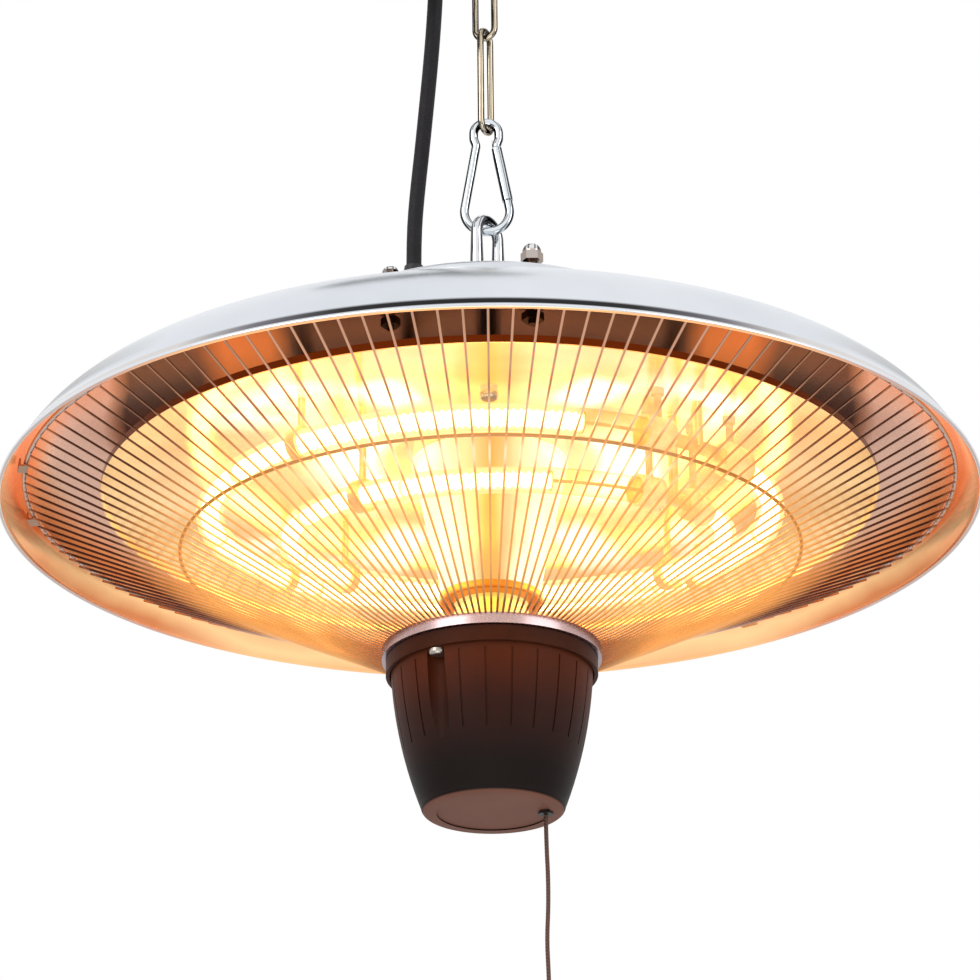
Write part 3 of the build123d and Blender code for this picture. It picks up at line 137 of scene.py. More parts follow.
pull_route = (
    (22.0, 0.0, -138.35), (22.1, 0.0, -152.0), (22.6, 0.2, -165.0), (22.5, -0.1, -179.0),
    (21.7, 0.0, -193.0), (22.2, 0.2, -207.0), (22.4, 0.0, -222.0), (22.1, -0.3, -238.0),
    (21.8, 0.0, -254.0), (22.0, 0.1, -270.0), (22.0, 0.0, -286.0),
)
pull_r = 0.95

# Camera: focal length in pixels of the square photo, distance from the rim's centre, and turns in degrees
focal_px, photo_px, sensor_mm = 4626, 980, 36
eye_distance = 2000
eye_below_deg, eye_lift_deg, eye_roll_deg = 21.96, 0.259, -0.62

# Stage, in metres and watts
floor_z, floor_half = -2.4, 9.0
light_target = Vector((0, 0, -0.4))
soft_lights = (
    ("soft_left", (-1.7, -1.9, 0.5), 1.6, 26.0),
    ("soft_right", (1.9, -1.4, 0.3), 1.6, 16.0),
    ("soft_below", (0.0, -1.5, -1.9), 1.5, 12.0),
)

# Most of a noise texture's values lie between these two
noise_low, noise_high = 0.3, 0.7

# Distances within which points become one, in metres
join_distance = 0.000002
weld_distance = 0.000005


def place(x, y, z):
    """A point given in millimetres from the rim's centre, in metres below the ceiling."""
    return Vector((x * mm, y * mm, (z + rim_z) * mm))


def linear(r, g, b):
    """A colour written as on a screen, 0 to 255, as the numbers a shader takes."""
    out = []
    for c in (r, g, b):
        c /= 255
        out.append(c / 12.92 if c <= 0.04045 else ((c + 0.055) / 1.055) ** 2.4)
    return (*out, 1.0)


def scaled(colour, k):
    return (*(c * k for c in colour[:3]), 1.0)


def halfway(a, b):
    return (*((p + q) / 2 for p, q in zip(a[:3], b[:3])), 1.0)


# Node helpers
def put(nt, socket, value):
    """Links another node's output to the socket, or sets a plain value on it."""
    if isinstance(value, bpy.types.NodeSocket):
        nt.links.new(value, socket)
    else:
        socket.default_value = value


def fill(nt, node, **inputs):
    """Puts each value on the input of that name, where an underscore stands for a space."""
    for name, value in inputs.items():
        put(nt, node.inputs[name.replace("_", " ")], value)


def bare(name):
    """A material with nothing but its output."""
    mat = bpy.data.materials.new(name)
    mat.use_nodes = True
    nt = mat.node_tree
    nt.nodes.clear()
    return mat, nt, nt.nodes.new("ShaderNodeOutputMaterial")


def fresh(name):
    """A material with a Principled shader on its output."""
    mat, nt, out = bare(name)
    bsdf = nt.nodes.new("ShaderNodeBsdfPrincipled")
    nt.links.new(bsdf.outputs[0], out.inputs[0])
    return mat, nt, bsdf


def noise_of(nt, scale, detail=3.0, stretch_to=None):
    """Noise on the object's own coordinates."""
    source = nt.nodes.new("ShaderNodeTexCoord").outputs["Object"]
    if stretch_to:
        mapping = nt.nodes.new("ShaderNodeMapping")
        fill(nt, mapping, Scale=stretch_to, Vector=source)
        source = mapping.outputs[0]
    noise = nt.nodes.new("ShaderNodeTexNoise")
    fill(nt, noise, Scale=scale, Detail=detail, Vector=source)
    return noise.outputs["Fac"]


def ramp_of(nt, fac, stops):
    """A colour ramp through stops of position and colour."""
    ramp = nt.nodes.new("ShaderNodeValToRGB")
    elements = ramp.color_ramp.elements
    elements[0].position, elements[0].color = stops[0]
    elements[1].position, elements[1].color = stops[-1]
    for at, colour in stops[1:-1]:
        elements.new(at).color = colour
    nt.links.new(fac, ramp.inputs[0])
    return ramp.outputs[0]


def patchy(nt, noise, low, high):
    """Goes from one colour to the other with the noise."""
    return ramp_of(nt, noise, [(noise_low, low), (noise_high, high)])


def mixed(nt, factor, a, b):
    """Colour a where the factor is 0, colour b where it is 1."""
    mix = nt.nodes.new("ShaderNodeMix")
    mix.data_type = "RGBA"
    nt.links.new(factor, mix.inputs[0])
    put(nt, mix.inputs[6], a)
    put(nt, mix.inputs[7], b)
    return mix.outputs[2]


def ranged(nt, value, low, high, to_low=0.0, to_high=1.0):
    """Maps low to high on to_low to to_high and holds both ends."""
    node = nt.nodes.new("ShaderNodeMapRange")
    for socket, number in zip(node.inputs, (value, low, high, to_low, to_high)):
        put(nt, socket, number)
    return node.outputs[0]


def spread(nt, noise, low, high):
    return ranged(nt, noise, noise_low, noise_high, low, high)


def maths(nt, operation, *values):
    node = nt.nodes.new("ShaderNodeMath")
    node.operation = operation
    for socket, value in zip(node.inputs, values):
        put(nt, socket, value)
    return node.outputs[0]


def times(nt, product, *others):
    for other in others:
        product = maths(nt, "MULTIPLY", product, other)
    return product


def plus(nt, total, *others):
    for other in others:
        total = maths(nt, "ADD", total, other)
    return total


def band(nt, value, start, full, fade, end):
    """1 between full and fade, and down to 0 at start and at end."""
    return times(nt, ranged(nt, value, start, full), ranged(nt, value, end, fade))


def bump_on(nt, bsdf, height, strength, distance=0.0001):
    bump = nt.nodes.new("ShaderNodeBump")
    fill(nt, bump, Strength=strength, Distance=distance, Height=height)
    nt.links.new(bump.outputs[0], bsdf.inputs["Normal"])


def axes_of(nt, kind="Object"):
    """The x, y and z of the object's own coordinates, or with Normal of the face's own direction."""
    parts = nt.nodes.new("ShaderNodeSeparateXYZ")
    nt.links.new(nt.nodes.new("ShaderNodeTexCoord").outputs[kind], parts.inputs[0])
    return tuple(parts.outputs)


def height_mm(nt, z):
    """Height above the rim in millimetres."""
    return maths(nt, "SUBTRACT", times(nt, z, mm_per_m), rim_z)


def distance_mm(nt, x, y):
    """Distance from the vertical axis in millimetres."""
    return times(nt, maths(nt, "SQRT", plus(nt, times(nt, x, x), times(nt, y, y))), mm_per_m)


def outward(nt, facing, x, y):
    """How much a face points away from the vertical axis, times its distance from it in metres."""
    return plus(nt, times(nt, facing[0], x), times(nt, facing[1], y))


def lobes(nt, x, y):
    """How far a spot lies to front or back (-1 to 1), to the sides (0 to 1) and on the diagonals (0 to 1)."""
    x2, y2 = times(nt, x, x), times(nt, y, y)
    total = plus(nt, x2, y2, 0.000001)
    ahead = maths(nt, "DIVIDE", maths(nt, "SUBTRACT", y2, x2), total)
    both = times(nt, maths(nt, "ABSOLUTE", times(nt, x, y)), 2.0)
    return ahead, maths(nt, "DIVIDE", x2, total), maths(nt, "DIVIDE", both, total)


# Finishes
def metal(name, colour, rough, scale=900.0):
    """Plated or polished metal with a little unevenness in its gloss."""
    mat, nt, bsdf = fresh(name)
    fine = noise_of(nt, scale, 2.0)
    fill(nt, bsdf, Metallic=1.0, Base_Color=patchy(nt, noise_of(nt, 35.0), scaled(colour, 0.86), colour),
         Roughness=spread(nt, fine, rough * 0.88, rough * 1.12 + 0.01))
    bump_on(nt, bsdf, fine, 0.08)
    return mat


def chrome(name, light, dark, rough=0.08, under=None):
    """Bright plating with painted reflections: light and dark bands painted by the way each face points, and,
    where given, a colour painted on downward faces as a reflection.
    """
    mat, nt, bsdf = fresh(name)
    facing = axes_of(nt, "Normal")
    wave = plus(nt, maths(nt, "ABSOLUTE", facing[0]), spread(nt, noise_of(nt, 90.0), -0.08, 0.08))
    # Painted reflection: light and dark bands set by how far each face turns to the sides
    painted_reflection_streaks = ramp_of(nt, wave, [
        (0.0, light), (0.22, light), (0.32, dark), (0.42, halfway(light, dark)), (0.48, light), (0.54, light),
        (0.63, dark), (1.0, dark),
    ])
    # Painted reflection on the faces that point down
    if under:
        painted_reflection_streaks = mixed(nt, ranged(nt, facing[2], 0.15, -0.05), painted_reflection_streaks, under)
    fine = noise_of(nt, 900.0, 2.0)
    fill(nt, bsdf, Metallic=1.0, Base_Color=painted_reflection_streaks, Roughness=spread(nt, fine, rough * 0.8, rough * 1.3))
    bump_on(nt, bsdf, fine, 0.06)
    return mat


def amber(name, colour, glow, strength, rough=0.4, metallic=0.0):
    """A piece next to the lamps with painted glow: emission stands in for the lamps' light on it."""
    mat, nt, bsdf = fresh(name)
    broad = noise_of(nt, 140.0)
    # Painted light: the emission is the lamps' glow painted on a piece that is no lamp
    fill(nt, bsdf, Metallic=metallic, Base_Color=patchy(nt, broad, scaled(colour, 0.7), colour),
         Roughness=rough, Emission_Color=glow, Emission_Strength=spread(nt, broad, strength * 0.6, strength))
    return mat


def plastic(name, colour, rough, bump=0.15, scale=1400.0, second=None, shine=0.5):
    """Moulded plastic or rubber with a fine grain."""
    mat, nt, bsdf = fresh(name)
    fine = noise_of(nt, scale, 2.0)
    fill(nt, bsdf, Base_Color=patchy(nt, noise_of(nt, 60.0), second or scaled(colour, 0.75), colour),
         Roughness=spread(nt, fine, rough * 0.85, rough * 1.15), Specular_IOR_Level=shine)
    bump_on(nt, bsdf, fine, bump)
    return mat


def shade_finish(settings):
    """Silver lacquer outside, polished metal inside, told apart by the way the face points, with painted light
    and shade on both: painted dark reflections on the shoulder and lip, a painted shaded hollow above the dish,
    and painted lamp light on the inside.
    """
    mat, nt, bsdf = fresh("shade_lacquer")
    facing = axes_of(nt, "Normal")
    x, y, z = axes_of(nt)
    height, away = height_mm(nt, z), distance_mm(nt, x, y)
    ahead, aside, _ = lobes(nt, x, y)
    to_side = ranged(nt, aside, 0.25, 0.6)
    facing_out = times(nt, outward(nt, facing, x, y), 1 / (shade_rim_r * mm))
    outside = ranged(nt, plus(nt, facing_out, facing[2]), 0.1, 0.6)
    broad = noise_of(nt, 18.0)

    # Outside: lacquer, a painted dark reflection at the sides of the shoulder's foot, and a painted reflection
    # on the lip, dark to front and back and light to the sides
    silver = patchy(nt, broad, settings.outside_dark, settings.outside)
    painted_dark_reflection = times(nt, band(nt, height, 7.0, 11.0, 17.0, 26.0), ranged(nt, aside, 0.4, 0.7), 0.75)
    silver = mixed(nt, painted_dark_reflection, silver, linear(104, 102, 102))
    lip = ramp_of(nt, ahead, [
        (0.3, linear(214, 210, 208)), (0.6, linear(112, 110, 118)), (0.85, linear(14, 10, 14)),
    ])
    lacquer = mixed(nt, band(nt, height, 1.9, 2.6, 5.2, 6.4), silver, lip)

    # Inside: painted shade above the dish with two patches of painted lamp light, then peach at the sides and a
    # painted orange glow to front and back and near the rim, and a bead silver at the sides
    beside = times(nt, maths(nt, "ABSOLUTE", x), mm_per_m)
    lit_patch = band(nt, beside, 84.0, 94.0, 112.0, 124.0)
    # Painted shade: the hollow above the dish is dark, with painted lamp light on two patches
    hollow = patchy(nt, broad, settings.hollow_dark, settings.hollow)
    hollow = mixed(nt, lit_patch, hollow, linear(196, 110, 46))
    peach = patchy(nt, broad, linear(214, 172, 150), settings.inside)
    inside_and_painted_glow = mixed(nt, to_side, linear(222, 150, 96), peach)
    inside_and_painted_glow = mixed(nt, ranged(nt, away, 190.0, 198.0), inside_and_painted_glow, linear(214, 130, 76))
    far_in = ranged(nt, plus(nt, away, ranged(nt, aside, 0.8, 0.94, 0.0, 10.0)), 178.0, 168.0)
    inside_and_painted_glow = mixed(nt, far_in, inside_and_painted_glow, hollow)
    # The bead: silver at the sides like the lacquer, the painted glow colour to front and back
    beaded = times(nt, ranged(nt, away, 210.3, 210.8), ranged(nt, aside, 0.3, 0.7))
    inside_and_painted_glow = mixed(nt, beaded, inside_and_painted_glow, linear(226, 214, 208))

    # Painted lamp light on the inside: emission that stands in for the lamps' glow, a little stronger near the
    # rim, and only on the lit patches in the hollow
    streak = spread(nt, noise_of(nt, 12.0, 4.0), -0.1, 0.1)
    rim_light = ramp_of(nt, plus(nt, ranged(nt, away, 188.0, 212.0), streak), [
        (0.0, linear(250, 196, 130)), (0.3, settings.rim_glow), (0.62, linear(206, 110, 56)),
        (0.8, linear(255, 224, 164)), (0.96, linear(190, 120, 82)),
    ])
    rim_light = mixed(nt, ranged(nt, ahead, -0.1, 0.35, 0.0, 0.6), rim_light, linear(255, 232, 176))
    pale = mixed(nt, to_side, linear(236, 160, 96), linear(214, 168, 146))
    painted_warm_glow = mixed(nt, ranged(nt, away, 188.0, 200.0), pale, rim_light)
    painted_warm_glow = mixed(nt, far_in, painted_warm_glow, linear(232, 130, 50))
    level = times(nt, ranged(nt, away, 190.0, 204.0), ranged(nt, aside, 0.6, 0.95, 0.22, -0.12))
    level = plus(nt, level, ranged(nt, ahead, -0.1, 0.35, 0.42, 0.5))
    level = plus(nt, times(nt, level, ranged(nt, far_in, 1.0, 0.0)), times(nt, lit_patch, 0.32, far_in))
    level = times(nt, level, ranged(nt, beaded, 0.0, 1.0, 1.0, 0.3), ranged(nt, outside, 1.0, 0.0))

    fine = noise_of(nt, 700.0, 2.0)
    rough = plus(nt, ranged(nt, outside, 0.0, 1.0, 0.2, 0.24), spread(nt, fine, -0.02, 0.02))
    fill(nt, bsdf, Metallic=1.0, Base_Color=mixed(nt, outside, inside_and_painted_glow, lacquer), Roughness=rough,
         Emission_Color=painted_warm_glow, Emission_Strength=level)
    bump_on(nt, bsdf, fine, 0.05)
    return mat


def reflector_finish(settings):
    """Polished dish with painted lamp light: emission stands in for the ring lamps' light on it, and its back
    is painted dark as shade.
    """
    mat, nt, bsdf = fresh("reflector_polish")
    facing = axes_of(nt, "Normal")
    x, y, _ = axes_of(nt)
    away = distance_mm(nt, x, y)
    ahead, aside, across = lobes(nt, x, y)
    broad = noise_of(nt, 14.0)
    polish = patchy(nt, broad, linear(236, 182, 124), linear(248, 222, 190))
    edge_on = ranged(nt, outward(nt, facing, x, y), 0.06, 0.1)
    # Painted shade: the dish's back and edge get a dark brown and no glow
    back = maths(nt, "MAXIMUM", ranged(nt, facing[2], 0.1, 0.3), edge_on)

    # Painted reflections of the lamps, as white-hot patches: out on the diagonals, nearer in towards front and
    # back, and beside the column
    painted_lamp_reflection = times(nt, ranged(nt, across, 0.78, 0.97), band(nt, away, 96.0, 116.0, 132.0, 152.0),
                  ranged(nt, noise_of(nt, 26.0), 0.38, 0.58))
    wedge = times(nt, ranged(nt, across, 0.56, 0.68), band(nt, away, 70.0, 84.0, 112.0, 124.0),
                  ranged(nt, ahead, 0.3, 0.5))
    inner = times(nt, band(nt, away, 44.0, 52.0, 66.0, 84.0), ranged(nt, aside, 0.4, 0.8))
    painted_lamp_reflection = maths(nt, "MAXIMUM", maths(nt, "MAXIMUM", painted_lamp_reflection, wedge), inner)

    # Painted lamp light: how strongly the dish glows
    level = plus(
        nt, ranged(nt, broad, 0.35, 0.65, 0.38, 0.5), times(nt, painted_lamp_reflection, 0.55),
        ranged(nt, away, 140.0, 158.0, 0.0, 0.12), ranged(nt, away, 104.0, 88.0, 0.0, 0.2),
    )
    tone = ramp_of(nt, broad, [(0.35, settings.glow_low), (0.65, settings.glow)])
    fill(nt, bsdf, Metallic=1.0, Base_Color=mixed(nt, back, polish, linear(104, 58, 30)),
         Roughness=spread(nt, noise_of(nt, 500.0, 2.0), 0.13, 0.18),
         Emission_Color=mixed(nt, painted_lamp_reflection, tone, linear(255, 250, 226)),
         Emission_Strength=times(nt, level, ranged(nt, back, 1.0, 0.0)))
    bump_on(nt, bsdf, noise_of(nt, 60.0, 2.0), 0.05, 0.0003)
    return mat


def column_finish(name, front, side, strength):
    """Polished turning in the middle of the dish, with painted lamp light down its sides: its colour and glow
    are painted by the way each face points, darker facing front and brighter to the sides.
    """
    mat, nt, bsdf = fresh(name)
    grain = spread(nt, noise_of(nt, 40.0, 3.0, (1, 1, 0.2)), -0.12, 0.12)
    away = plus(nt, maths(nt, "ABSOLUTE", axes_of(nt, "Normal")[0]), grain)
    between = halfway(front, side)
    # Painted lamp light and reflection: glow and colour follow which way each face points
    fill(nt, bsdf, Metallic=1.0, Roughness=0.25, Emission_Strength=strength,
         Base_Color=ramp_of(nt, away, [(0.05, scaled(front, 0.4)), (0.6, between)]),
         Emission_Color=ramp_of(nt, away, [(0.05, front), (0.45, between), (0.8, side)]))
    return mat


def filament_finish(settings):
    """White-hot spiral."""
    mat, nt, bsdf = fresh("glowing_spiral")
    fill(nt, bsdf, Base_Color=linear(255, 190, 90), Emission_Strength=settings.lamp_strength,
         Emission_Color=patchy(nt, noise_of(nt, 260.0), linear(255, 214, 140), settings.lamp))
    return mat


def quartz_finish(lamp):
    """Clear tube with a gloss and a painted amber glow along its edges, painted brighter where the spiral runs
    inside.
    """
    mat, nt, out = bare(lamp["name"] + "_quartz_tube")
    clear = nt.nodes.new("ShaderNodeBsdfTransparent")
    fill(nt, clear, Color=(1.0, 0.95, 0.82, 1.0))
    gloss = nt.nodes.new("ShaderNodeBsdfGlossy")
    fill(nt, gloss, Color=(1.0, 0.92, 0.75, 1.0), Roughness=0.08)
    weight = nt.nodes.new("ShaderNodeLayerWeight")
    fill(nt, weight, Blend=0.5)
    edge = maths(nt, "POWER", weight.outputs["Facing"], 3.0)
    edge = plus(nt, edge, spread(nt, noise_of(nt, 120.0), 0.0, 0.06))
    x, y, _ = axes_of(nt)
    turn = maths(nt, "ARCTAN2", y, maths(nt, "SUBTRACT", x, lamp["x"] * mm))
    turn = times(nt, turn, 180 / math.pi)
    start, coil_end = lamp["start"], lamp["coil_end"] - 360
    lit = maths(nt, "MAXIMUM", ranged(nt, turn, coil_end, coil_end - 1), ranged(nt, turn, start + 3, start + 5))
    edge = maths(nt, "MAXIMUM", edge, times(nt, lit, 0.9))
    # Painted glow: emission along the tube's edges and where the spiral runs inside
    painted_edge_glow = nt.nodes.new("ShaderNodeEmission")
    fill(nt, painted_edge_glow, Color=mixed(nt, lit, linear(255, 190, 100), linear(255, 236, 170)),
         Strength=ranged(nt, lit, 0.0, 1.0, 0.6, 1.6))
    sheen, mix = nt.nodes.new("ShaderNodeMixShader"), nt.nodes.new("ShaderNodeMixShader")
    for node, values in (
        (sheen, (0.6, gloss.outputs[0], painted_edge_glow.outputs[0])),
        (mix, (times(nt, edge, 0.55), clear.outputs[0], sheen.outputs[0])),
    ):
        for socket, value in zip(node.inputs, values):
            put(nt, socket, value)
    nt.links.new(mix.outputs[0], out.inputs[0])
    return mat


def guard_finish(name, colour, glow):
    """Plated wire with painted lamp light: emission where it passes close under the lamps, and painted shade at
    the sides.
    """
    mat, nt, bsdf = fresh(name)
    x, y, _ = axes_of(nt)
    away = distance_mm(nt, x, y)
    ahead, aside, _ = lobes(nt, x, y)
    tone = patchy(nt, noise_of(nt, 60.0), scaled(colour, 0.7), colour)
    # Painted shade: the wires darker at the sides between the middle and the rim
    shaded = times(nt, ranged(nt, aside, 0.45, 0.8), band(nt, away, 140.0, 160.0, 194.0, 198.0))
    outer = ranged(nt, away, 150.0, 172.0)

    # Two painted highlight bands of lamp light, where the wires cross the ring lamps as seen from the front
    hot = maths(nt, "MAXIMUM", band(nt, away, 141.0, 148.0, 153.0, 160.0),
                band(nt, away, 119.0, 125.0, 130.0, 136.0))
    hot = times(nt, hot, ranged(nt, ahead, 0.0, 0.4))
    painted_warm_glow = mixed(nt, outer, linear(252, 178, 86), linear(232, 178, 146))
    painted_warm_glow = mixed(nt, times(nt, hot, 0.8), painted_warm_glow, linear(255, 242, 196))
    near = times(nt, band(nt, away, 48.0, 76.0, 132.0, 164.0), glow)
    rim = times(nt, outer, ranged(nt, ahead, 0.2, 0.6), 0.42)
    fill(nt, bsdf, Metallic=1.0, Roughness=0.18, Base_Color=mixed(nt, shaded, tone, linear(92, 62, 50)),
         Emission_Color=painted_warm_glow, Emission_Strength=plus(nt, near, times(nt, hot, 0.4 * glow), rim))
    return mat


def housing_finish(settings):
    """Dark plastic with painted lamp light: brown near the top by the lamps, darker further down, and lighter
    on the flat underside.
    """
    mat, nt, bsdf = fresh("housing_plastic")
    height = height_mm(nt, axes_of(nt)[2])
    level = plus(nt, ranged(nt, height, housing_foot_z, housing_top_z),
                 spread(nt, noise_of(nt, 45.0, 4.0), -0.03, 0.03))
    # Painted lamp light: the plastic turns brown towards the top, by the lamps
    colour = ramp_of(nt, level, [
        (0.0, settings.housing_low), (0.2, settings.housing_low), (0.55, linear(48, 22, 15)),
        (0.97, settings.housing_lamp_light),
    ])
    foot = patchy(nt, noise_of(nt, 30.0), scaled(settings.housing_foot, 0.85), settings.housing_foot)
    under = times(nt, ranged(nt, axes_of(nt, "Normal")[2], -0.55, -0.8), ranged(nt, height, -100.0, -110.0))
    fine = noise_of(nt, 1600.0, 2.0)
    fill(nt, bsdf, Base_Color=mixed(nt, under, colour, foot), Roughness=spread(nt, fine, 0.5, 0.58),
         Specular_IOR_Level=0.1)
    bump_on(nt, bsdf, fine, 0.12)
    return mat


def cord_finish(name, colour, second, scale):
    """Braid, as slanting bands on the object's own coordinates."""
    mat, nt, bsdf = fresh(name)
    wave = nt.nodes.new("ShaderNodeTexWave")
    wave.wave_type = "BANDS"
    wave.bands_direction = "DIAGONAL"
    fill(nt, wave, Scale=scale, Distortion=0.6, Vector=nt.nodes.new("ShaderNodeTexCoord").outputs["Object"])
    bands = wave.outputs["Fac"]
    fill(nt, bsdf, Base_Color=ramp_of(nt, bands, [(0.2, second), (0.8, colour)]), Roughness=0.7)
    bump_on(nt, bsdf, bands, 0.4, 0.0002)
    return mat


def strap_finish():
    """Fuzzy black fabric."""
    mat, nt, bsdf = fresh("strap_fabric")
    fuzz = noise_of(nt, 2600.0, 4.0)
    fill(nt, bsdf, Base_Color=patchy(nt, fuzz, linear(16, 16, 17), linear(44, 44, 46)), Roughness=0.95)
    bump_on(nt, bsdf, fuzz, 0.5, 0.0003)
    return mat


# Outline helpers
def stepped(a, b, count):
    return [a + (b - a) * k / count for k in range(count + 1)]


def line_points(a, b, count):
    return list(zip(stepped(a[0], b[0], count), stepped(a[1], b[1], count)))


def ball_z(ball, top, radius):
    """Height of a ball's surface at a distance from the axis."""
    return top - ball + math.sqrt(ball * ball - radius * radius)


def ball_points(ball, top, radii):
    return [(r, ball_z(ball, top, r)) for r in radii]


def circle_through(a, b, c):
    """Centre and radius of the circle through three points of an outline."""
    (ax, az), (bx, bz), (cx, cz) = a, b, c
    d = 2 * (ax * (bz - cz) + bx * (cz - az) + cx * (az - bz))
    a2, b2, c2 = ax * ax + az * az, bx * bx + bz * bz, cx * cx + cz * cz
    ux = (a2 * (bz - cz) + b2 * (cz - az) + c2 * (az - bz)) / d
    uz = (a2 * (cx - bx) + b2 * (ax - cx) + c2 * (bx - ax)) / d
    return (ux, uz), math.hypot(ax - ux, az - uz)


def arc_points(centre, radius, start, end, count):
    """Points on an arc, angles in degrees."""
    return [(centre[0] + radius * math.cos(turn), centre[1] + radius * math.sin(turn))
            for turn in map(math.radians, stepped(start, end, count))]


# Mesh helpers
def finished(name, bm, finish, body, replaced=(), sharp_deg=32.0):
    """Turns a bmesh into a piece of the heater with its finish and body."""
    bmesh.ops.remove_doubles(bm, verts=bm.verts, dist=join_distance)
    bmesh.ops.recalc_face_normals(bm, faces=bm.faces)
    limit = math.radians(sharp_deg)
    for face in bm.faces:
        face.smooth = True
    for edge in bm.edges:
        edge.smooth = not (edge.is_manifold and edge.calc_face_angle(0.0) > limit)
    mesh = bpy.data.meshes.new(name)
    bm.to_mesh(mesh)
    bm.free()
    piece = bpy.data.objects.new(name, mesh)
    bpy.context.scene.collection.objects.link(piece)
    mesh.materials.append(finish)
    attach(piece, body)
    if replaced:
        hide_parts(*replaced)
    return piece


def turned(points, steps):
    """A closed outline of radius and height pairs, turned once round the vertical axis."""
    bm = bmesh.new()
    verts = [bm.verts.new(place(r, 0, z)) for r, z in points]
    edges = [bm.edges.new(pair) for pair in zip(verts, verts[1:] + verts[:1])]
    bmesh.ops.spin(
        bm, geom=verts + edges, cent=place(0, 0, 0), axis=(0, 0, 1), dvec=(0, 0, 0), angle=2 * math.pi,
        steps=steps, use_merge=True, use_normal_flip=False, use_duplicate=False,
    )
    return bm


def of_kind(geom, kind):
    return [g for g in geom if isinstance(g, kind)]


def drawn_wire(bm, points, radius, sides):
    """A round wire pulled through points, each end closed."""
    points = [Vector(p) for p in points]
    heading = (points[1] - points[0]).normalized()
    turn = heading.to_track_quat("Z", "Y").to_matrix().to_4x4()
    made = bmesh.ops.create_circle(
        bm, cap_ends=True, segments=sides, radius=radius, matrix=Matrix.Translation(points[0]) @ turn
    )
    ring = made["verts"]
    edges = list({e for v in ring for e in v.link_edges})
    for k in range(1, len(points)):
        step = bmesh.ops.extrude_edge_only(bm, edges=edges)
        ring = of_kind(step["geom"], bmesh.types.BMVert)
        edges = [e for e in of_kind(step["geom"], bmesh.types.BMEdge) if all(v in ring for v in e.verts)]
        before = heading
        if k + 1 < len(points):
            heading = (points[k + 1] - points[k]).normalized()
        now = sum((v.co for v in ring), Vector()) / len(ring)
        bmesh.ops.translate(bm, verts=ring, vec=points[k] - now)
        spin = turn_between(current_normal(ring, points[k]), (before + heading).normalized())
        bmesh.ops.rotate(bm, verts=ring, cent=points[k], matrix=spin)
    bmesh.ops.holes_fill(bm, edges=[e for e in edges if e.is_boundary], sides=sides + 1)


def current_normal(ring, centre):
    a, b = ring[0].co - centre, ring[len(ring) // 4].co - centre
    return a.cross(b).normalized()


def turn_between(a, b):
    if a.dot(b) < 0:
        a = -a
    return a.rotation_difference(b).to_matrix()


def lamp_matrix(lamp):
    tilt = Matrix.Rotation(math.radians(lamp["tilt"]), 4, "X")
    return Matrix.Translation(place(lamp["x"], 0, lamp["z"])) @ tilt


def ring_part(bm, lamp, radius, start, end, steps, sides, closed=True):
    """Part of a lamp's ring: a circle turned about the lamp's own tilted axis."""
    base = lamp_matrix(lamp)
    at = base @ Matrix.Rotation(math.radians(start), 4, "Z") @ Matrix.Translation((lamp["ring"] * mm, 0, 0))
    at = at @ Matrix.Rotation(math.radians(90), 4, "X")
    made = bmesh.ops.create_circle(bm, cap_ends=False, segments=sides, radius=radius * mm, matrix=at)
    geom = made["verts"] + list({e for v in made["verts"] for e in v.link_edges})
    bmesh.ops.spin(
        bm, geom=geom, cent=base.translation, axis=base.to_3x3() @ Vector((0, 0, 1)), dvec=(0, 0, 0),
        angle=math.radians(end - start), steps=steps, use_merge=False, use_normal_flip=False,
        use_duplicate=False,
    )
    if closed:
        bmesh.ops.holes_fill(bm, edges=[e for e in bm.edges if e.is_boundary], sides=sides + 1)


def evaluated_mesh(line):
    bpy.context.view_layer.update()
    return bpy.data.meshes.new_from_object(line.evaluated_get(bpy.context.evaluated_depsgraph_get()))


def curve_piece(name, points, radius, resolution, bevel):
    """An open spline through the given control points with a round section, and its middle line."""
    curve = bpy.data.curves.new(name, "CURVE")
    curve.dimensions = "3D"
    spline = curve.splines.new("NURBS")
    spline.points.add(len(points) - 1)
    for point, co in zip(spline.points, points):
        point.co = (*co, 1.0)
    spline.order_u = 3
    spline.use_endpoint_u = True
    spline.resolution_u = resolution
    line = bpy.data.objects.new(name + "_line", curve)
    bpy.context.scene.collection.objects.link(line)
    path = [tuple(v.co) for v in evaluated_mesh(line).vertices]
    curve.bevel_depth = radius
    curve.bevel_resolution = bevel
    curve.use_fill_caps = True
    mesh = evaluated_mesh(line)
    mesh.name = name
    bpy.data.objects.remove(line)
    piece = bpy.data.objects.new(name, mesh)
    bpy.context.scene.collection.objects.link(piece)
    for polygon in mesh.polygons:
        polygon.use_smooth = True
    return piece, path


def dress(finish, *names, angle=30.0):
    """Gives CAD nodes their finish and smooth shading that keeps their sharp edges."""
    for name in names:
        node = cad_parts[name]
        node.data.materials.clear()
        node.data.materials.append(finish)
        for polygon in node.data.polygons:
            polygon.use_smooth = True
        weld = node.modifiers.new("Weld", "WELD")
        weld.merge_threshold = weld_distance
        split = node.modifiers.new("Edges", "EDGE_SPLIT")
        split.split_angle = math.radians(angle)


# Settings that a user would change
def tint(name, description, *rgb):
    return bpy.props.FloatVectorProperty(
        name=name, description=description, subtype="COLOR", size=4, min=0, max=1, default=linear(*rgb))


def gauge(name, description, low, high, default):
    return bpy.props.FloatProperty(
        name=name, description=description, unit="LENGTH", subtype="DISTANCE", min=low, max=high,
        default=default)


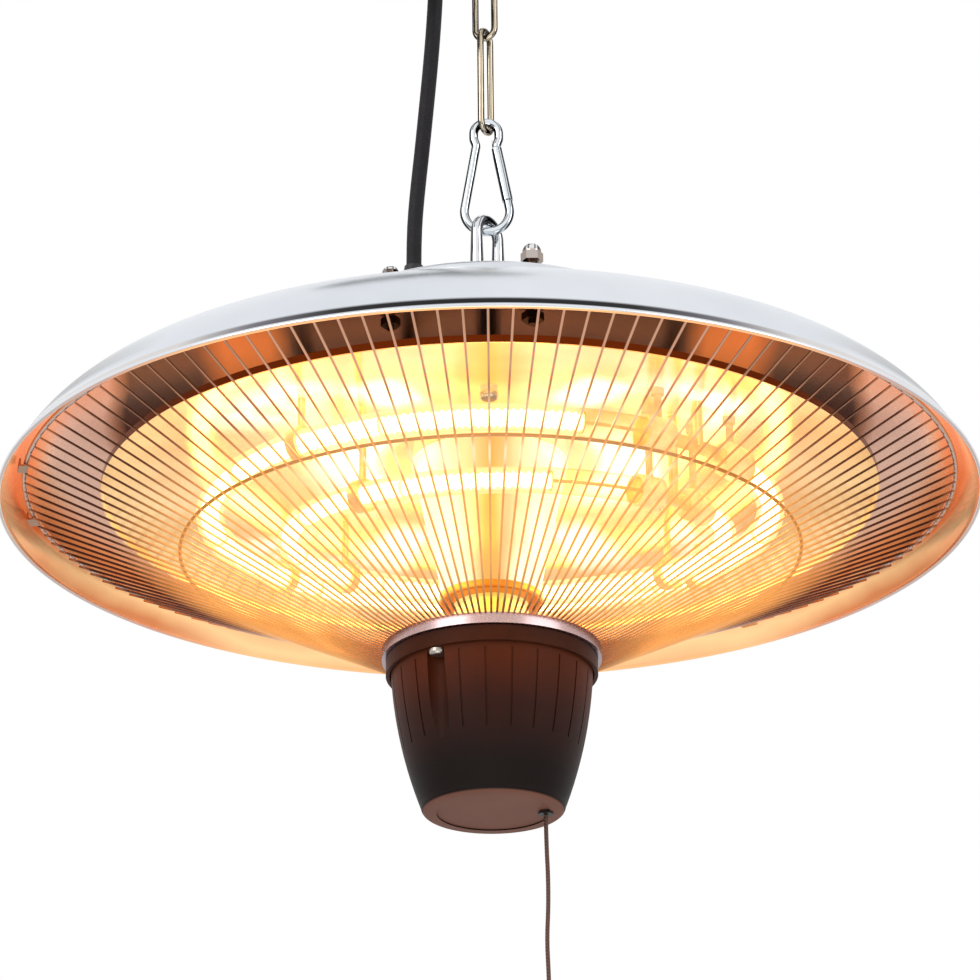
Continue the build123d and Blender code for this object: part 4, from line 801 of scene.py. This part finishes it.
class HeaterColours(bpy.types.PropertyGroup):
    outside: tint("Shade outside", "Silver lacquer of the shade and the cap", 226, 230, 236)
    outside_dark: tint("Shade outside, darker", "The lacquer's darker patches", 216, 221, 228)
    inside: tint("Shade inside", "Polished inside of the shade", 226, 184, 160)
    # Painted shade of the hollow above the reflector, in two tones
    hollow: tint("Shade hollow", "Shaded space above the reflector", 108, 54, 24)
    hollow_dark: tint("Shade hollow, darker", "Darker patches above the reflector", 74, 36, 16)
    # Painted lamp light: on the inside of the rim, and on the reflector in two tones
    rim_glow: tint("Rim glow", "Light of the lamps on the inside of the rim", 246, 150, 84)
    glow_low: tint("Glow, deeper", "The reflector's deeper orange patches", 246, 180, 92)
    glow: tint("Glow", "Light of the lamps on the reflector", 255, 209, 122)
    lamp: tint("Lamp", "Light of the glowing spirals", 255, 220, 150)
    lamp_strength: bpy.props.FloatProperty(
        name="Lamp strength", description="How brightly the spirals glow", min=0, max=200, default=9.0)
    # Painted lamp light: the housing's brown next to the lamps
    housing_lamp_light: tint("Housing, top", "Brown of the housing next to the lamps", 88, 38, 14)
    housing_low: tint("Housing, bottom", "Near-black of the housing's lower part", 22, 14, 12)
    housing_foot: tint("Housing, underside", "Lighter flat underside", 118, 78, 64)


class HeaterSizes(bpy.types.PropertyGroup):
    wire: gauge("Guard wire", "Radius of the guard's wires", 0.0003, 0.002, guard_wire_r * mm)
    lead: gauge("Mains lead", "Radius of the mains lead", 0.002, 0.006, lead_r * mm)
    turns: bpy.props.IntProperty(
        name="Steps round", description="Steps that the large turned pieces take round the axis", min=48,
        max=256, default=192)


def colours():
    return bpy.context.scene.heater_colours


def sizes():
    return bpy.context.scene.heater_sizes


class HEATER_OT_shade(bpy.types.Operator):
    """Builds the shade with its rolled bead, steep shoulder and shallow crown"""
    bl_idname = "heater.shade"
    bl_label = "Shade"

    def execute(self, context):
        centre, bend = circle_through(*shoulder)
        first, last = (math.degrees(math.atan2(z - centre[1], r - centre[0])) for r, z in shoulder[::2])
        outer = arc_points(centre, bend, last, first, shoulder_steps)
        inner = arc_points(centre, bend - shade_t, first, last, shoulder_steps)
        out_r = stepped(spine_hole_r, shoulder[2][0], crown_steps)[:-1]
        in_r = stepped(spine_hole_r, inner[-1][0], crown_steps)[::-1]
        out_crown = ball_points(crown_ball_r, crown_top, out_r)
        in_crown = ball_points(crown_ball_r - shade_t, crown_top - shade_t, in_r)
        bead_at = (shade_rim_r - bead_r, bead_r)
        bead = arc_points(bead_at, bead_r, 30, -180, 14)
        flare = line_points(inner[0], (bead_at[0] - shade_t, bead_r), 4)[:0:-1]
        bm = turned(out_crown + outer + bead + flare + inner + in_crown, sizes().turns)
        finished("shade_shell", bm, shade_finish(colours()), "heater", ("shade",), 50.0)
        return {"FINISHED"}


class HEATER_OT_cap(bpy.types.Operator):
    """Builds the domed cap on top of the shade and dresses its fasteners"""
    bl_idname = "heater.cap"
    bl_label = "Top cap"

    def execute(self, context):
        top = cap_edge_z + cap_ball_r - math.sqrt(cap_ball_r ** 2 - cap_r ** 2)
        inside = cap_r - cap_round_r
        dome = ball_points(cap_ball_r, top, stepped(spine_hole_r, inside - 1.5, 16))
        low_edge = ball_z(crown_ball_r, crown_top, cap_r) + cap_seat
        corner_at = (inside, ball_z(cap_ball_r, top, inside) - cap_round_r)
        corner = arc_points(corner_at, cap_round_r, 68, 0, 6)
        skirt = [(cap_r, low_edge), (cap_r - cap_t, low_edge), (cap_r - cap_t, corner_at[1] - cap_t)]
        back = ball_points(cap_ball_r - cap_t, top - cap_t, stepped(inside, spine_hole_r, 12))
        bm = turned(dome + corner + skirt + back, cap_turns)
        lacquer = metal("cap_lacquer", colours().outside, 0.24, 700.0)
        finished("cap_shell", bm, lacquer, "heater", ("top_cap",), 40.0)
        # Painted reflection: a warmer, darker colour for the downward faces of the nuts and screws; chrome()
        # also paints light and dark bands on them and on the eye nut
        under = linear(176, 160, 150)
        bright = chrome("polished_steel", linear(232, 232, 234), linear(72, 66, 66), 0.08, under)
        dress(bright, "acorn_nuts", "cap_screws")
        dress(chrome("eye_steel", linear(228, 230, 234), linear(70, 68, 70)), "eye_nut")
        plain = metal("zinc_steel", linear(176, 178, 178), 0.32)
        dress(plain, "spine_tube", "spine_nuts", "spacers", "reflector_screws")
        dress(metal("passivated_steel", linear(96, 74, 58), 0.45), "cap_studs", "cap_nuts")
        return {"FINISHED"}


class HEATER_OT_reflector(bpy.types.Operator):
    """Builds the glowing dish behind the lamps and dresses the column in its middle"""
    bl_idname = "heater.reflector"
    bl_label = "Reflector"

    def execute(self, context):
        curve = list(reflector_low[:2])
        for a, b in zip(reflector_low[1:], reflector_low[2:]):
            curve += line_points(a, b, 8)[1:]
        low, high = reflector_lip_z
        lip = [(reflector_r - reflector_t, low), (reflector_r, low), (reflector_r, high)]
        bm = turned(curve + lip + list(reflector_back), sizes().turns)
        polish = reflector_finish(colours())
        finished("reflector_dish", bm, polish, "heater", ("reflector",), 40.0)
        # Painted lamp light and reflection on the column: column_finish() sets its glow and colour by the way
        # each face points
        for node, name, front, side, strength in (
            ("column_cone", "column_polish", (250, 176, 96), (255, 246, 220), 0.75),
            ("column_sleeve", "sleeve_polish", (248, 220, 96), (255, 240, 160), 0.7),
            ("column_ring", "ring_polish", (232, 128, 34), (246, 170, 80), 0.6),
        ):
            dress(column_finish(name, linear(*front), linear(*side), strength), node)
        return {"FINISHED"}


class HEATER_OT_lamps(bpy.types.Operator):
    """Builds both ring lamps: quartz tube, glowing spiral, support rings and end fittings"""
    bl_idname = "heater.lamps"
    bl_label = "Ring lamps"

    def execute(self, context):
        glow = filament_finish(colours())
        # Painted glow on the supports, clips and straps, which are no lamps
        steel = amber("lamp_steel", linear(236, 186, 130), linear(255, 206, 130), 0.6, 0.3, 1.0)
        for lamp in lamps:
            name, first, last = lamp["name"], lamp["start"] + spiral_gap_deg, lamp["coil_end"]
            bm = bmesh.new()
            ring_part(bm, lamp, lamp["tube"], lamp["start"], lamp["end"], 150, 20, False)
            quartz = quartz_finish(lamp)
            finished(name + "_quartz", bm, quartz, "heater", (name + "_lamp_tube",), 80.0)
            points = self.spiral(lamp, first, last)
            coil, _ = curve_piece(name + "_spiral", points, spiral_wire_r * mm, 1, 0)
            coil.data.materials.append(glow)
            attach(coil, "heater")
            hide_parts(lamp["name"] + "_lamp_core")
            bm = bmesh.new()
            ring_part(bm, lamp, lamp["coil"] - glow_inset, first, last, 120, 12)
            finished(name + "_glow", bm, glow, "heater")
            bm = bmesh.new()
            ring_part(bm, lamp, lamp_wire_r, last, lamp["end"], 8, 8)
            for turn in stepped(first, last, support_gaps):
                ring_part(bm, lamp, lamp["tube"] - support_inset, turn, turn + support_deg, 1, 18)
            finished(name + "_supports", bm, steel, "heater")
        # Painted glow on the lamp caps, leads and grommets
        dress(amber("lamp_ceramic", linear(246, 208, 150), linear(255, 205, 120), 0.7), "lamp_caps")
        dress(steel, "lamp_clips", "lamp_straps")
        painted_warm_glow = linear(255, 190, 100)
        dress(amber("lead_sleeve", linear(232, 206, 160), painted_warm_glow, 0.35, 0.8), "lamp_leads")
        dress(amber("grommet_ceramic", linear(232, 210, 170), painted_warm_glow, 0.3, 0.6), "reflector_grommets")
        return {"FINISHED"}

    def spiral(self, lamp, first, last):
        """Control points of the wound wire inside the tube, between two angles in degrees."""
        base = lamp_matrix(lamp)
        turns = int(math.radians(last - first) * lamp["ring"] / spiral_pitch)
        points = []
        for k, along in enumerate(map(math.radians, stepped(first, last, turns * spiral_steps))):
            wind = 2 * math.pi * k / spiral_steps
            out = (lamp["ring"] + lamp["coil"] * math.cos(wind)) * mm
            up = lamp["coil"] * math.sin(wind) * mm
            points.append(base @ Vector((out * math.cos(along), out * math.sin(along), up)))
        return points


class HEATER_OT_guard(bpy.types.Operator):
    """Builds the wire guard: radial wires, collar and rings"""
    bl_idname = "heater.guard"
    bl_label = "Wire guard"

    def execute(self, context):
        bm = bmesh.new()
        drawn_wire(bm, [place(r, 0, z) for r, z in guard_path], sizes().wire, 6)
        bmesh.ops.spin(
            bm, geom=bm.verts[:] + bm.edges[:] + bm.faces[:], cent=(0, 0, 0), axis=(0, 0, 1), dvec=(0, 0, 0),
            angle=2 * math.pi * (guard_count - 1) / guard_count, steps=guard_count - 1, use_merge=False,
            use_normal_flip=False, use_duplicate=True,
        )
        # Painted lamp light and shade on the wires and the middle ring, from guard_finish()
        plating = guard_finish("guard_chrome", linear(182, 132, 102), 0.62)
        finished("guard_wires", bm, plating, "heater", ("wire_guard",), 40.0)
        plating = metal("collar_plating", linear(206, 186, 190), 0.25)
        finished("guard_collar", turned(guard_collar, 128), plating, "heater", (), 40.0)
        outline = arc_points((guard_ring["r"], guard_ring["z"]), guard_ring["wire"], *ring_arc)
        pale = metal("ring_plating", linear(238, 212, 198), 0.28)
        finished("guard_rim_ring", turned(outline, sizes().turns), pale, "heater",
                 ("guard_outer_ring",), 60.0)
        low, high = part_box("guard_middle_ring")
        middle = ((high.x - low.x) / 2 / mm - guard_mid_wire_r, (low.z + high.z) / 2 / mm - rim_z)
        outline = arc_points(middle, guard_mid_wire_r, *ring_arc)
        brown = guard_finish("ring_bronze", linear(132, 76, 48), 0.42)
        finished("guard_mid_ring", turned(outline, sizes().turns), brown, "heater",
                 ("guard_middle_ring",), 60.0)
        dress(metal("clip_steel", linear(200, 160, 130), 0.3), "guard_clips")
        return {"FINISHED"}


class HEATER_OT_housing(bpy.types.Operator):
    """Dresses the switch housing, its lid, its screws and the pull switch inside"""
    bl_idname = "heater.housing"
    bl_label = "Switch housing"

    def execute(self, context):
        dress(housing_finish(colours()), "switch_housing", angle=35.0)
        lid = plastic("lid_plastic", linear(66, 30, 14), 0.5, 0.12, 1600.0, linear(52, 22, 10), 0.1)
        dress(lid, "housing_lid", angle=35.0)
        zinc = metal("screw_zinc", linear(190, 180, 170), 0.3)
        dress(zinc, "housing_screws", "switch_bracket", "drum_axle", "drum_spring")
        for node, name, rgb, rough in (
            ("switch_body", "switch_plastic", (40, 40, 40), 0.5),
            ("switch_drum", "drum_nylon", (222, 216, 200), 0.5),
            ("terminal_block", "terminal_plastic", (226, 222, 210), 0.5),
            ("cord_bush", "bush_plastic", (28, 20, 16), 0.4),
            ("switch_cord", "inner_cord", (96, 64, 46), 0.9),
            ("pull_knob", "knob_plastic", (44, 26, 18), 0.3),
        ):
            dress(plastic(name, linear(*rgb), rough), node)
        return {"FINISHED"}


class HEATER_OT_pull_cord(bpy.types.Operator):
    """Lays the pull cord below the housing"""
    bl_idname = "heater.pull_cord"
    bl_label = "Pull cord"

    def execute(self, context):
        points = [place(*p) for p in pull_route]
        cord, path = curve_piece("braided_pull_cord", points, pull_r * mm, 6, 3)
        cord.data.materials.append(cord_finish("cord_braid", linear(104, 70, 54), linear(58, 36, 27), 420.0))
        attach(cord, "pull_cord")
        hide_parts("pull_cord")
        return {"FINISHED"}


class HEATER_OT_chain(bpy.types.Operator):
    """Dresses the ceiling plate, hook, chain and snap hook"""
    bl_idname = "heater.chain"
    bl_label = "Chain and hooks"

    def execute(self, context):
        # Painted reflections: chrome() paints light and dark bands on the hook, chain and snap hook
        zinc = chrome("chain_zinc", linear(206, 192, 168), linear(44, 34, 25), 0.12)
        dress(zinc, "ceiling_hook", "hook_nut", "chain_link_3", "chain_link_2", "chain_link_1")
        dress(metal("plate_zinc", linear(198, 198, 196), 0.3), "ceiling_plate")
        plating = chrome("hook_chrome", linear(228, 234, 238), linear(28, 36, 42))
        dress(plating, "snap_hook_body", "snap_hook_gate", "gate_pin", "gate_spring")
        return {"FINISHED"}


def coil_points():
    """Control points of the coil, many to each turn: in, over to the front layer, and out again."""
    inward = 2 * math.pi * coil_turns
    slope = coil_pitch / (2 * math.pi)
    least = coil_outer_r - coil_turns * coil_pitch
    side = coil_pitch / 2
    # The spline runs a little inside its control points, so they lie further out by this much
    further = 1 / (0.75 + 0.25 * math.cos(2 * math.pi / coil_points_per_turn))
    total = 2 * inward + math.pi
    out = []
    for turn in stepped(0.0, total, int(round(total / (2 * math.pi) * coil_points_per_turn))):
        if turn <= inward:
            r, y = coil_outer_r - slope * turn, side
        elif turn >= inward + math.pi:
            r, y = least + slope * (turn - inward - math.pi), -side
        else:
            r, y = least - slope * math.sin(turn - inward), side * math.cos(turn - inward)
        r *= further
        out.append((stretch[-1][0] - coil_outer_r + r * math.cos(turn), y, coil_height + r * math.sin(turn)))
    return out


class HEATER_OT_mains_lead(bpy.types.Operator):
    """Lays the mains lead from its gland up to the tied coil and the plug"""
    bl_idname = "heater.mains_lead"
    bl_label = "Mains lead"

    def execute(self, context):
        route = list(stretch) + coil_points()[1:-1] + list(tail)
        lead, path = curve_piece("mains_lead", [place(*p) for p in route], sizes().lead, 3, 4)
        rubber = plastic("cable_rubber", linear(40, 37, 40), 0.6, 0.25, 1100.0, linear(30, 27, 29), 0.2)
        lead.data.materials.append(rubber)
        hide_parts("mains_cable", "mains_coil")
        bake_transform(lead)
        tie = self.strap()
        dress(plastic("plug_rubber", linear(34, 33, 35), 0.5), "mains_plug")
        dress(metal("pin_nickel", linear(214, 208, 192), 0.18), "plug_pins")
        dress(plastic("gland_plastic", linear(30, 30, 32), 0.5), "cable_gland", "gland_nut", "gland_sleeve")
        dress(rubber, "inner_lead")
        return {"FINISHED"}

    def strap(self):
        """The hook-and-loop strap round the coil and the chain."""
        low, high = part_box("cable_tie")
        corner = strap_corner_r * mm
        left, right, half = low.x + corner, high.x - corner, high.y - corner
        ring = []
        for x, y, start in ((right, half, 0), (left, half, 90), (left, -half, 180), (right, -half, 270)):
            ring += arc_points((x, y), corner, start, start + 90, 6)
        bm = bmesh.new()
        verts = [bm.verts.new((x, y, low.z)) for x, y in ring]
        edges = [bm.edges.new(pair) for pair in zip(verts, verts[1:] + verts[:1])]
        step = bmesh.ops.extrude_edge_only(bm, edges=edges)
        upper = of_kind(step["geom"], bmesh.types.BMVert)
        bmesh.ops.translate(bm, verts=upper, vec=(0, 0, high.z - low.z))
        bmesh.ops.recalc_face_normals(bm, faces=bm.faces)
        bmesh.ops.solidify(bm, geom=bm.faces[:], thickness=strap_t * mm)
        return finished("tie_strap", bm, strap_finish(), "snap_hook", ("cable_tie",), 40.0)


class HEATER_OT_stage(bpy.types.Operator):
    """Sets the pale floor, the soft light, the white surroundings and the camera"""
    bl_idname = "heater.stage"
    bl_label = "Stage"

    def execute(self, context):
        scene = bpy.context.scene
        scene.view_settings.view_transform = "Standard"
        self.surroundings(scene)

        bm = bmesh.new()
        at = Matrix.Translation((0, 0, floor_z))
        bmesh.ops.create_grid(bm, x_segments=2, y_segments=2, size=floor_half, matrix=at)
        mesh = bpy.data.meshes.new("pale_floor")
        bm.to_mesh(mesh)
        bm.free()
        floor = bpy.data.objects.new("pale_floor", mesh)
        scene.collection.objects.link(floor)
        mat, nt, bsdf = fresh("floor_paint")
        fill(nt, bsdf, Base_Color=(0.97, 0.97, 0.96, 1.0), Roughness=0.9)
        mesh.materials.append(mat)

        for name, at, size, energy in soft_lights:
            data = bpy.data.lights.new(name, "AREA")
            data.energy = energy
            data.size = size
            light = bpy.data.objects.new(name, data)
            light.location = at
            light.rotation_euler = (light_target - Vector(at)).to_track_quat("-Z", "Y").to_euler()
            scene.collection.objects.link(light)

        camera = bpy.data.cameras.new("view")
        camera.sensor_width = sensor_mm
        camera.lens = focal_px / photo_px * sensor_mm
        camera.clip_end = 50
        eye = bpy.data.objects.new("view", camera)
        scene.collection.objects.link(eye)
        below = math.radians(eye_below_deg)
        lifted = below + math.radians(eye_lift_deg)
        eye.location = place(0, -eye_distance * math.cos(below), -eye_distance * math.sin(below))
        look = Vector((0, math.cos(lifted), math.sin(lifted)))
        turn = look.to_track_quat("-Z", "Y") @ Quaternion((0, 0, 1), math.radians(eye_roll_deg))
        eye.rotation_euler = turn.to_euler()
        scene.camera = eye
        return {"FINISHED"}

    def surroundings(self, scene):
        """A soft pale light all round, seen as plain white."""
        world = bpy.data.worlds.new("pale_surroundings")
        scene.world = world
        world.use_nodes = True
        nt = world.node_tree
        nt.nodes.clear()
        out = nt.nodes.new("ShaderNodeOutputWorld")
        light, seen = nt.nodes.new("ShaderNodeBackground"), nt.nodes.new("ShaderNodeBackground")
        fill(nt, light, Color=(0.93, 0.96, 1.0, 1.0), Strength=0.62)
        fill(nt, seen, Color=(1.0, 1.0, 1.0, 1.0), Strength=1.0)
        path = nt.nodes.new("ShaderNodeLightPath")
        direct = maths(nt, "MAXIMUM", path.outputs["Is Camera Ray"], path.outputs["Is Glossy Ray"])
        direct = maths(nt, "MAXIMUM", direct, path.outputs["Is Transmission Ray"])
        mix = nt.nodes.new("ShaderNodeMixShader")
        for socket, source in zip(mix.inputs, (direct, light.outputs[0], seen.outputs[0])):
            nt.links.new(source, socket)
        nt.links.new(mix.outputs[0], out.inputs[0])


class HEATER_PT_panel(bpy.types.Panel):
    """Lists the heater's pieces"""
    bl_idname = "HEATER_PT_panel"
    bl_label = "Hanging heater"
    bl_space_type = "VIEW_3D"
    bl_region_type = "UI"
    bl_category = "Heater"

    def draw(self, context):
        column = self.layout.column()
        for operator in operators:
            column.operator(operator.bl_idname)
        for name in HeaterColours.__annotations__:
            column.prop(context.scene.heater_colours, name)
        for name in HeaterSizes.__annotations__:
            column.prop(context.scene.heater_sizes, name)


operators = (
    HEATER_OT_stage, HEATER_OT_mains_lead, HEATER_OT_pull_cord, HEATER_OT_shade, HEATER_OT_cap,
    HEATER_OT_reflector, HEATER_OT_lamps, HEATER_OT_guard, HEATER_OT_housing, HEATER_OT_chain,
)
classes = (HeaterColours, HeaterSizes, *operators, HEATER_PT_panel)


def register():
    for cls in classes:
        bpy.utils.register_class(cls)
    bpy.types.Scene.heater_colours = bpy.props.PointerProperty(type=HeaterColours)
    bpy.types.Scene.heater_sizes = bpy.props.PointerProperty(type=HeaterSizes)


def unregister():
    del bpy.types.Scene.heater_sizes
    del bpy.types.Scene.heater_colours
    for cls in reversed(classes):
        bpy.utils.unregister_class(cls)


def main():
    register()
    bpy.ops.heater.stage()
    bpy.ops.heater.mains_lead()
    bpy.ops.heater.pull_cord()
    bpy.ops.heater.shade()
    bpy.ops.heater.cap()
    bpy.ops.heater.reflector()
    bpy.ops.heater.lamps()
    bpy.ops.heater.guard()
    bpy.ops.heater.housing()
    bpy.ops.heater.chain()


if __name__ == "__main__":
    main()
